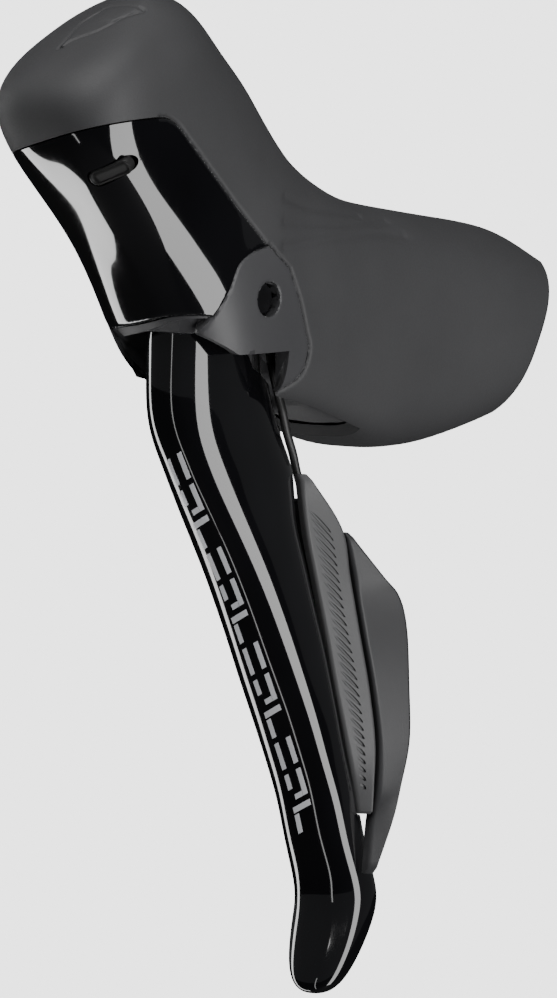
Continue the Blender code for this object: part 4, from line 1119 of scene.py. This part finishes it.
def screw_tree() -> NodeForm:
    """Tree for a cap screw along +Z: chamfered head with a hexagon socket, and a threaded shank."""
    form = NodeForm("cap_screw")
    given = form.inputs({name: "NodeSocketFloat" for name in
                         ("Head Radius", "Head Height", "Shank Radius", "Length", "Pitch")}).outputs

    def shaft(bottom: object, top: object, depth: object, offset: object,
              sides: int = 64) -> bpy.types.NodeSocket:
        """Add a round or prismatic solid along +Z, from an offset."""
        cone = form.add("GeometryNodeMeshCone", {"Vertices": sides, "Radius Bottom": bottom,
                                                 "Radius Top": top, "Depth": depth})
        where = form.add("ShaderNodeCombineXYZ", {"Z": offset})
        return form.add("GeometryNodeTransform", {"Geometry": cone.outputs["Mesh"],
                                                  "Translation": where.outputs[0]}).outputs[0]

    radius, height = given["Head Radius"], given["Head Height"]
    chamfer = math_node(form, "MULTIPLY", radius, 0.1)
    top_radius = math_node(form, "SUBTRACT", radius, chamfer)
    upper = shaft(top_radius, radius, chamfer, 0.0)
    barrel = shaft(radius, radius, math_node(form, "SUBTRACT", height, chamfer), chamfer)
    socket = shaft(math_node(form, "MULTIPLY", radius, 0.5), math_node(form, "MULTIPLY", radius, 0.5),
                   math_node(form, "MULTIPLY", height, 1.7), math_node(form, "MULTIPLY", height, -1.0), 6)
    joined = form.add("GeometryNodeMeshBoolean", operation="UNION", solver="EXACT")
    form.tree.links.new(upper, joined.inputs["Mesh 2"])
    form.tree.links.new(barrel, joined.inputs["Mesh 2"])
    head = form.add("GeometryNodeMeshBoolean", {"Mesh 1": joined.outputs[0], "Mesh 2": socket},
                    operation="DIFFERENCE", solver="EXACT")
    core = shaft(math_node(form, "MULTIPLY", given["Shank Radius"], 0.86),
                 math_node(form, "MULTIPLY", given["Shank Radius"], 0.8),
                 math_node(form, "SUBTRACT", given["Length"], height), height)
    reach = math_node(form, "SUBTRACT", given["Length"], math_node(form, "ADD", height, given["Pitch"]))
    turns = math_node(form, "DIVIDE", reach, given["Pitch"])
    helix = form.add("GeometryNodeCurveSpiral",
                     {"Resolution": 32, "Rotations": turns, "Start Radius": given["Shank Radius"],
                      "End Radius": given["Shank Radius"], "Height": reach})
    thread_radius = math_node(form, "MULTIPLY", given["Pitch"], 0.3)
    thin = form.add("GeometryNodeCurvePrimitiveCircle", {"Resolution": 6, "Radius": thread_radius})
    tucked = form.add("GeometryNodeTransform", {"Geometry": helix.outputs[0], "Scale": (0.9, 0.9, 1.0)})
    half_pitch = math_node(form, "MULTIPLY", given["Pitch"], 0.5)
    start = form.add("ShaderNodeCombineXYZ", {"Z": math_node(form, "ADD", height, half_pitch)})
    form.tree.links.new(start.outputs[0], tucked.inputs["Translation"])
    thread = form.add("GeometryNodeCurveToMesh",
                      {"Curve": tucked.outputs[0], "Profile Curve": thin.outputs[0], "Fill Caps": True})
    whole = form.add("GeometryNodeJoinGeometry")
    for part in (head.outputs[0], core, thread.outputs[0]):
        form.tree.links.new(part, whole.inputs[0])
    form.end(whole.outputs[0], "black_steel")
    return form


@dataclass(frozen=True)
class CapScrew:
    """A cap screw: its head's outer face, its direction and its sizes."""

    node: str
    head: tuple[float, float, float]
    axis: tuple[float, float, float]
    head_radius: float
    head_height: float
    shank_radius: float
    length: float

    def build(self, tree: NodeForm) -> None:
        """Make the screw."""
        carrier = mesh_piece(self.node + "_fine", [(0, 0, 0)], [])
        values = {"Head Radius": self.head_radius, "Head Height": self.head_height,
                  "Shank Radius": self.shank_radius, "Length": self.length, "Pitch": 0.6}
        tree.run(carrier, values)
        turn = Vector((0, 0, 1)).rotation_difference(Vector(self.axis)).to_matrix().to_4x4()
        carrier.data.transform(Matrix.Translation(Vector(self.head)) @ turn)
        finish(carrier, BODY_OF[self.node], RECORD_SLOTS[self.node], [self.node])


def groove_tree() -> NodeForm:
    """Tree that lays tapering groove cutters along a line of edges."""
    form = NodeForm("grip_grooves")
    given = form.inputs({"Line": "NodeSocketGeometry", "Pitch": "NodeSocketFloat", "Size": "NodeSocketVector",
                         "Turn": "NodeSocketRotation"}).outputs
    curve = form.add("GeometryNodeMeshToCurve", {"Mesh": given["Line"]})
    spots = form.add("GeometryNodeResampleCurve", {"Curve": curve.outputs[0], "Length": given["Pitch"]},
                     mode="LENGTH")
    lens = form.add("GeometryNodeMeshUVSphere", {"Segments": 12, "Rings": 16, "Radius": 1.0})
    laid = form.add("GeometryNodeInstanceOnPoints",
                    {"Points": spots.outputs[0], "Instance": lens.outputs["Mesh"],
                     "Rotation": given["Turn"], "Scale": given["Size"]})
    form.end(laid.outputs[0], "button_grey")
    return form


@dataclass
class GripGrooves:
    """Slanting grooves moulded into the front button's face."""

    pitch: float = 1.62
    high: float = -41.5
    low: float = -90.0
    share: float = 0.42
    size: tuple[float, float, float] = (0.34, 0.32, 3.9)
    slant: float = 52.0

    def cutters(self, paddle: Paddle) -> bpy.types.Object:
        """Cutters for one paddle."""
        points = [paddle.behind(z, self.share, 0.0) for z in np.linspace(self.high, self.low, 60)]
        mesh = bpy.data.meshes.new("groove_line")
        mesh.from_pydata([tuple(p) for p in points], [(i, i + 1) for i in range(len(points) - 1)], [])
        line = bpy.data.objects.new("groove_cutters", mesh)
        bpy.context.collection.objects.link(line)
        out = -paddle.inward
        down = (points[-1] - points[0]).normalized()
        rear = out.cross(down)
        if rear.y < 0:
            rear = -rear
        slant = math.radians(self.slant)
        length = (down * math.sin(slant) + rear * math.cos(slant)).normalized()
        turn = Matrix((out.cross(length), out, length)).transposed()
        return groove_tree().run(line, {"Pitch": self.pitch, "Size": self.size, "Turn": turn.to_euler()})


# ---------------------------------------------------------------- turned, wound and carried parts

ROD_AXIS_Z = -8.0
HORN_BASE = Vector((-2.0, -6.0, 24.0))
HORN_TOP = Vector((-4.0, -28.0, 48.6))


@dataclass(frozen=True)
class TurnedPart:
    """A part turned round one axis; a ring's profile closes on itself."""

    node: str
    base: Sequence[float]
    axis: Sequence[float]
    profile: Outline
    ring: bool = False
    soft: float = 0.12          # width of the broken edges, in millimetres
    slot: str | None = None     # slot worn instead of the node's own

    def build(self) -> None:
        """Make the part with broken edges."""
        direction = Vector(self.axis).normalized()
        first, second = frame_round(direction)
        angles = np.arange(96) * math.pi / 48
        circle = np.outer(np.cos(angles), first) + np.outer(np.sin(angles), second)
        rings = np.array([np.array(self.base) + np.array(direction) * along + circle * radius
                          for along, radius in self.softened()])
        piece = self.closed(rings) if self.ring else skinned(self.node + "_fine", rings)
        finish(piece, BODY_OF[self.node], self.slot or RECORD_SLOTS[self.node], [self.node])

    def softened(self) -> list[tuple[float, float]]:
        """The profile with a small flat in place of each corner."""
        corners = [np.array(p, float) for p in self.profile]
        if not self.ring:
            corners = [np.array((corners[0][0], 0.3))] + corners + [np.array((corners[-1][0], 0.3))]
        out = []
        for i, corner in enumerate(corners):
            if not self.ring and i in (0, len(corners) - 1):
                out.append(tuple(corner))
                continue
            for other in (corners[i - 1], corners[(i + 1) % len(corners)]):
                run = other - corner
                length = np.linalg.norm(run)
                out.append(tuple(corner + run * min(self.soft, length / 3) / length))
        return out

    def closed(self, rings: Array) -> bpy.types.Object:
        """Skin rings whose profile closes on itself."""
        rows, count = rings.shape[:2]
        base = np.arange(count)
        turn = (base + 1) % count
        faces = []
        for row in range(rows):
            low, high = row * count, (row + 1) % rows * count
            faces += np.stack([low + base, low + turn, high + turn, high + base], axis=1).tolist()
        return mesh_piece(self.node + "_fine", rings.reshape(-1, 3), faces)


def tube_profile(inner: float, outer: float, length: float) -> list[tuple[float, float]]:
    """Profile of a plain sleeve."""
    return [(0.0, inner), (0.0, outer), (length, outer), (length, inner)]


def sweep(name: str, path: Array, radius: float, sides: int = 16) -> bpy.types.Object:
    """Sweep a circle along a path without twisting it."""
    tangents = np.gradient(path, axis=0)
    tangents /= np.linalg.norm(tangents, axis=1)[:, None]
    across = np.array(frame_round(Vector(tangents[0]))[0])
    angles = np.arange(sides) * 2 * math.pi / sides
    rings = []
    for point, tangent in zip(path, tangents):
        across = across - tangent * across.dot(tangent)
        across /= np.linalg.norm(across)
        other = np.cross(tangent, across)
        rings.append(point + radius * (np.outer(np.cos(angles), across) + np.outer(np.sin(angles), other)))
    return skinned(name, np.array(rings))


@dataclass(frozen=True)
class Coil:
    """A helical spring."""

    node: str
    start: Sequence[float]
    axis: Sequence[float]
    radius: float
    wire: float
    turns: float
    length: float

    def build(self) -> None:
        """Make the spring."""
        direction = Vector(self.axis).normalized()
        first, second = frame_round(direction)
        share = np.linspace(0, 1, int(self.turns * 40) + 1)
        angle = share * self.turns * 2 * math.pi
        path = np.array(self.start) + np.outer(share * self.length, direction)
        path += self.radius * (np.outer(np.cos(angle), first) + np.outer(np.sin(angle), second))
        piece = sweep(self.node + "_fine", path, self.wire)
        finish(piece, BODY_OF[self.node], RECORD_SLOTS[self.node], [self.node])


@dataclass(frozen=True)
class CarriedPart:
    """A small CAD part shown by a merged copy with broken edges."""

    node: str
    soft: float = 0.12

    def build(self) -> None:
        """Make the copy."""
        source = frame["nodes"][self.node]
        mesh = source.data.copy()
        form = bmesh.new()
        form.from_mesh(mesh)
        bmesh.ops.remove_doubles(form, verts=form.verts, dist=1e-6)
        bmesh.ops.recalc_face_normals(form, faces=form.faces)
        form.to_mesh(mesh)
        form.free()
        piece = bpy.data.objects.new(self.node + "_fine", mesh)
        bpy.context.collection.objects.link(piece)
        if self.soft:
            step = piece.modifiers.new("broken_edges", "BEVEL")
            step.width = self.soft * MM
            step.segments = 2
            step.limit_method = "ANGLE"
            step.angle_limit = math.radians(50.0)
            bake(piece)
        dress(piece, BODY_OF[self.node], RECORD_SLOTS[self.node], [self.node], 35.0)


def cylinder_parts() -> list[TurnedPart]:
    """Master cylinder parts, along Y."""
    def at(y: float) -> tuple[float, float, float]:
        """Point on the cylinder's axis."""
        return (0.0, y, ROD_AXIS_Z)

    piston = [(0.0, 4.5)]
    for start in (2.0, 8.4):
        piston += [(start, 4.5), (start, 3.6), (start + 1.8, 3.6), (start + 1.8, 4.5)]
    piston.append((12.0, 4.5))
    axis = (0, 1, 0)
    return [
        TurnedPart("cylinder_sleeve", at(21.5), axis,
                   [(0, 4.8), (0, 6.5), (27.5, 6.5), (27.5, 1.2), (25.5, 1.2), (25.5, 4.8)], True),
        TurnedPart("cylinder_circlip", at(22.1), axis, tube_profile(2.4, 4.5, 1.0), True),
        TurnedPart("piston", at(24.0), axis, piston),
        TurnedPart("piston_seal_front", at(26.2), axis, tube_profile(3.8, 4.7, 1.4), True, 0.3),
        TurnedPart("piston_seal_rear", at(32.6), axis, tube_profile(3.8, 4.7, 1.4), True, 0.3),
        TurnedPart("push_rod", at(2.9), axis, [(0, 2.8), (2.0, 2.8), (2.6, 1.8), (20.4, 1.8)]),
    ]


def pivot_parts() -> list[TurnedPart]:
    """Axle, bushes and barrel, along X."""
    axis = (1, 0, 0)
    port_plug = [(0, 2.1), (4.5, 2.1), (4.5, 1.4), (5.5, 1.4)]
    return [
        TurnedPart("axle_pin", (-13.0, 0, 0), axis, [(0, 3.0), (25.8, 3.0)], soft=0.4, slot="black_steel"),
        TurnedPart("axle_bush_inboard", (-10.1, 0, 0), axis, tube_profile(3.25, 4.3, 5.5), True),
        TurnedPart("axle_bush_outboard", (4.6, 0, 0), axis, tube_profile(3.25, 4.3, 5.5), True),
        TurnedPart("push_barrel", (-5.3, 0, ROD_AXIS_Z), axis, [(0, 2.6), (10.6, 2.6)], soft=0.3),
        TurnedPart("wire_port_plug_1", (-11.7, 21.0, 4.5), axis, port_plug),
        TurnedPart("wire_port_plug_2", (-11.7, 21.0, -1.8), axis, port_plug),
    ]


def horn_parts() -> list[TurnedPart]:
    """Reservoir, bleed port and top button parts, along the horn."""
    axis = FORM.horn_axis
    bleed_head = HORN_BASE + axis * 28.6
    return [
        TurnedPart("reservoir_diaphragm", HORN_BASE, axis,
                   [(1.0, 5.6), (8.0, 5.9), (8.0, 6.7), (9.0, 6.7), (9.0, 5.2), (2.0, 4.8)]),
        TurnedPart("bleed_o_ring", bleed_head - axis * 3.4, axis, tube_profile(2.1, 2.9, 1.2), True, 0.35),
        TurnedPart("top_button", HORN_TOP - axis * 6.6, axis,
                   [(0, 2.0), (3.2, 2.0), (3.2, 5.0), (5.2, 5.0), (5.6, 4.4)]),
        TurnedPart("coin_cell", (0, 36, 3.0), (0, 0, 1),
                   [(0, 7.2), (0.5, 7.6), (0.5, 8.0), (3.2, 8.0)], soft=0.2),
    ]


def button_parts() -> list[TurnedPart | Coil]:
    """Hinge pins, switches and springs behind both buttons."""
    parts: list[TurnedPart | Coil] = []
    for paddle, switch, share in ((FRONT_PADDLE, "front_switch", 0.7), (REAR_PADDLE, "rear_switch", 0.6)):
        high, low = paddle.pin_span(-56.5, -82.0)
        run = low - high
        parts.append(TurnedPart(paddle.name + "_pin", high, run, [(0, 0.75), (run.length, 0.75)]))
        base = paddle.behind(-70.5, share, 7.0)
        parts.append(TurnedPart(switch, base, -paddle.inward,
                                [(0, 1.2), (4.0 * paddle.inward.length, 1.2)], soft=0.2))
        start = paddle.behind(-67.0, 0.7, paddle.thickness + 0.3) + paddle.inward * 0.3
        parts.append(Coil(paddle.name + "_spring", start, paddle.inward, 1.0, 0.2, 4, 3.2))
    parts.append(Coil("piston_spring", (0, 37.0, ROD_AXIS_Z), (0, 1, 0), 3.3, 0.5, 5, 9.0))
    parts.append(Coil("lever_return_spring", (-2.6, 0, 0), (1, 0, 0), 4.9, 0.6, 3, 5.2))
    return parts


def cap_screws() -> list[CapScrew]:
    """Every screw of the assembly."""
    out = Vector((0.0, -0.821, -0.572)).normalized()
    along = Vector((0.0, -0.572, 0.821)).normalized()
    plate_head = Vector((-1.5, -21.4, 12.2)) + along * 12.5 + out * 3.0
    bolt_start, bolt_head = BAR.point(13.0, -7.2, 0.0), BAR.point(8.2, -28.0, 0.0)
    bolt_run = (bolt_start - bolt_head).normalized()
    bleed_head = HORN_BASE + FORM.horn_axis * 28.6
    back = (0.0, -1.0, 0.0)
    return [
        CapScrew("name_plate_screw", tuple(plate_head), tuple(-out), 1.8, 1.2, 1.0, 6.0),
        CapScrew("stroke_adjust_screw", tuple(PLUG.centre - PLUG.out * 3.4), tuple(-PLUG.out),
                 1.5, 1.0, 1.5, 6.5),
        CapScrew("clamp_bolt", tuple(bolt_head), tuple(bolt_run), 3.5, 3.2, 2.0, 19.5),
        CapScrew("hose_port_plug", (-13.9, 54.5, -12.0), (1.0, 0.0, 0.0), 3.9, 1.6, 3.2, 8.0),
        CapScrew("bleed_screw", tuple(bleed_head), tuple(-FORM.horn_axis), 2.9, 1.8, 1.8, 7.4),
        CapScrew("battery_cover_screw", (-11.1, 28.7, 4.0), (1.0, 0.0, 0.0), 1.7, 0.7, 0.9, 5.0),
        CapScrew("blade_screw_1", BLADE_SCREW_HEADS[0], back, 2.6, 1.8, 1.5, 10.0),
        CapScrew("blade_screw_2", BLADE_SCREW_HEADS[1], back, 2.6, 1.8, 1.5, 10.0),
        CapScrew("reach_adjust_screw", (0.0, 10.5, -20.0), back, 1.5, 1.0, 1.5, 8.0),
        CapScrew("switch_unit_screw", (3.2, 24.5, -42.0), back, 2.0, 1.4, 1.0, 9.0),
    ]


def switch_lead() -> None:
    """Lead from the switch unit up behind the blade."""
    route = [(6.2, 20.6, -37.4), (5.1, 20.0, -33.5), (4.8, 19.0, -29.5), (4.8, 17.2, -25.5),
             (5.2, 15.4, -21.5), (6.0, 13.0, -18.0), (6.3, 11.2, -14.0), (6.3, 10.2, -10.0),
             (6.3, 9.9, -6.5)]
    finish(sweep("switch_lead_fine", flow(route, 8), 0.8), Body.LEVER, "cable_sheath", ["switch_lead"])


CARRIED = [CarriedPart("bracket_body", 0.0), CarriedPart("lever_support", 0.15),
           CarriedPart("clamp_band", 0.12), CarriedPart("battery_cover"), CarriedPart("battery_tray"),
           CarriedPart("control_board", 0.05), CarriedPart("top_button_switch"),
           CarriedPart("switch_housing", 0.1), CarriedPart("switch_board", 0.05),
           CarriedPart("lead_connector", 0.2)]


# ---------------------------------------------------------------- stage


@dataclass(frozen=True)
class SoftBox:
    """A soft studio light aimed at the object from an angle round it."""

    name: str
    azimuth: float              # degrees from the front towards outboard
    height: float               # degrees above the horizon
    distance: float
    width: float
    tall: float
    power: float

    def build(self, aim: Vector) -> None:
        """Place the light."""
        around, up = math.radians(self.azimuth), math.radians(self.height)
        towards = Vector((math.sin(around) * math.cos(up), -math.cos(around) * math.cos(up), math.sin(up)))
        data = bpy.data.lights.new(self.name, "AREA")
        data.shape = "RECTANGLE"
        data.size, data.size_y = self.width, self.tall
        data.energy = self.power
        light = bpy.data.objects.new(self.name, data)
        light.location = aim + towards * self.distance
        light.rotation_euler = towards.to_track_quat("Z", "Y").to_euler()
        bpy.context.collection.objects.link(light)


@dataclass
class Studio:
    """Pale floor, soft lights and a distant camera."""

    view_azimuth: float = 38.0
    view_height: float = 5.0
    camera_distance: float = 2.5
    picture_height: float = 0.1798
    middle: tuple[float, float] = (12.892, -36.606)    # picture's centre, across and up from the axle
    floor_height: float = -1.3
    floor_size: float = 60.0
    surround: float = 0.07
    paleness: float = 3.0
    lights: list[SoftBox] = field(default_factory=lambda: [
        SoftBox("right_panel", 84.0, -14.0, 1.1, 0.7, 2.0, 19.0),
        SoftBox("left_strip", -80.0, -14.0, 1.1, 0.22, 2.0, 7.0),
        SoftBox("front_strip", -20.0, -20.0, 1.2, 0.06, 1.4, 0.7),
        SoftBox("top_panel", 10.0, 62.0, 1.1, 1.1, 1.0, 13.0),
    ])

    def build(self) -> None:
        """Make the stage."""
        across, up = math.radians(self.view_azimuth), math.radians(self.view_height)
        right = Vector((math.cos(across), math.sin(across), 0.0))
        back = Vector((math.sin(across) * math.cos(up), -math.cos(across) * math.cos(up), math.sin(up)))
        above = back.cross(right)
        aim = AXLE + (right * self.middle[0] + above * self.middle[1]) * MM
        data = bpy.data.cameras.new("camera")
        data.sensor_fit = "VERTICAL"
        data.sensor_height = 36.0
        data.lens = 36.0 * self.camera_distance / self.picture_height
        data.clip_end = 200.0
        camera = bpy.data.objects.new("camera", data)
        camera.matrix_world = Matrix.Translation(aim + back * self.camera_distance) @ Matrix(
            (right, above, back)).transposed().to_4x4()
        bpy.context.collection.objects.link(camera)
        bpy.context.scene.camera = camera
        for light in self.lights:
            light.build(aim)
        self.floor()
        self.world()

    def floor(self) -> None:
        """Make the floor."""
        half = self.floor_size / 2
        mesh = bpy.data.meshes.new("floor")
        corners = [(x, y, self.floor_height) for x, y in
                   ((-half, -half), (half, -half), (half, half), (-half, half))]
        mesh.from_pydata(corners, [], [(0, 1, 2, 3)])
        floor = bpy.data.objects.new("floor", mesh)
        bpy.context.collection.objects.link(floor)
        sketch = NodeSketch("floor_paint")
        sketch.set(Base_Color=(0.04, 0.04, 0.04, 1.0), Roughness=0.9, Emission_Color=(1.0, 1.0, 1.0, 1.0))
        seen = sketch.add("ShaderNodeMath", operation="MULTIPLY")
        seen.inputs[1].default_value = self.paleness
        sketch.link(sketch.add("ShaderNodeLightPath").outputs["Is Camera Ray"], seen.inputs[0])
        sketch.link(seen.outputs[0], sketch.shader.inputs["Emission Strength"])
        mesh.materials.append(sketch.material)

    def world(self) -> None:
        """A pale surround for the camera, dimmer for everything that it lights."""
        world = bpy.data.worlds.new("surround")
        world.use_nodes = True
        bpy.context.scene.world = world
        tree = world.node_tree
        shown = tree.nodes["Background"]
        shown.inputs["Color"].default_value = (1.0, 1.0, 1.0, 1.0)
        shown.inputs["Strength"].default_value = self.paleness
        dim = tree.nodes.new("ShaderNodeBackground")
        dim.inputs["Color"].default_value = (0.96, 0.98, 1.0, 1.0)
        dim.inputs["Strength"].default_value = self.surround
        path = tree.nodes.new("ShaderNodeLightPath")
        mix = tree.nodes.new("ShaderNodeMixShader")
        tree.links.new(path.outputs["Is Camera Ray"], mix.inputs["Fac"])
        tree.links.new(dim.outputs[0], mix.inputs[1])
        tree.links.new(shown.outputs[0], mix.inputs[2])
        tree.links.new(mix.outputs[0], tree.nodes["World Output"].inputs["Surface"])


def main() -> None:
    """Build every piece and the stage."""
    logging.basicConfig(level=logging.INFO, format="%(message)s")
    plate = NamePlate()
    HoodCover().build()
    plate.build()
    PLUG.build()
    BracketTrim().build(plate)
    LeverBlade().build(switch_space(0.4))
    FRONT_PADDLE.build(GripGrooves().cutters)
    REAR_PADDLE.build()
    for part in cylinder_parts() + pivot_parts() + horn_parts() + button_parts() + CARRIED:
        part.build()
    tree = screw_tree()
    for screw in cap_screws():
        screw.build(tree)
    switch_lead()
    Studio().build()


if __name__ == "__main__":
    main()
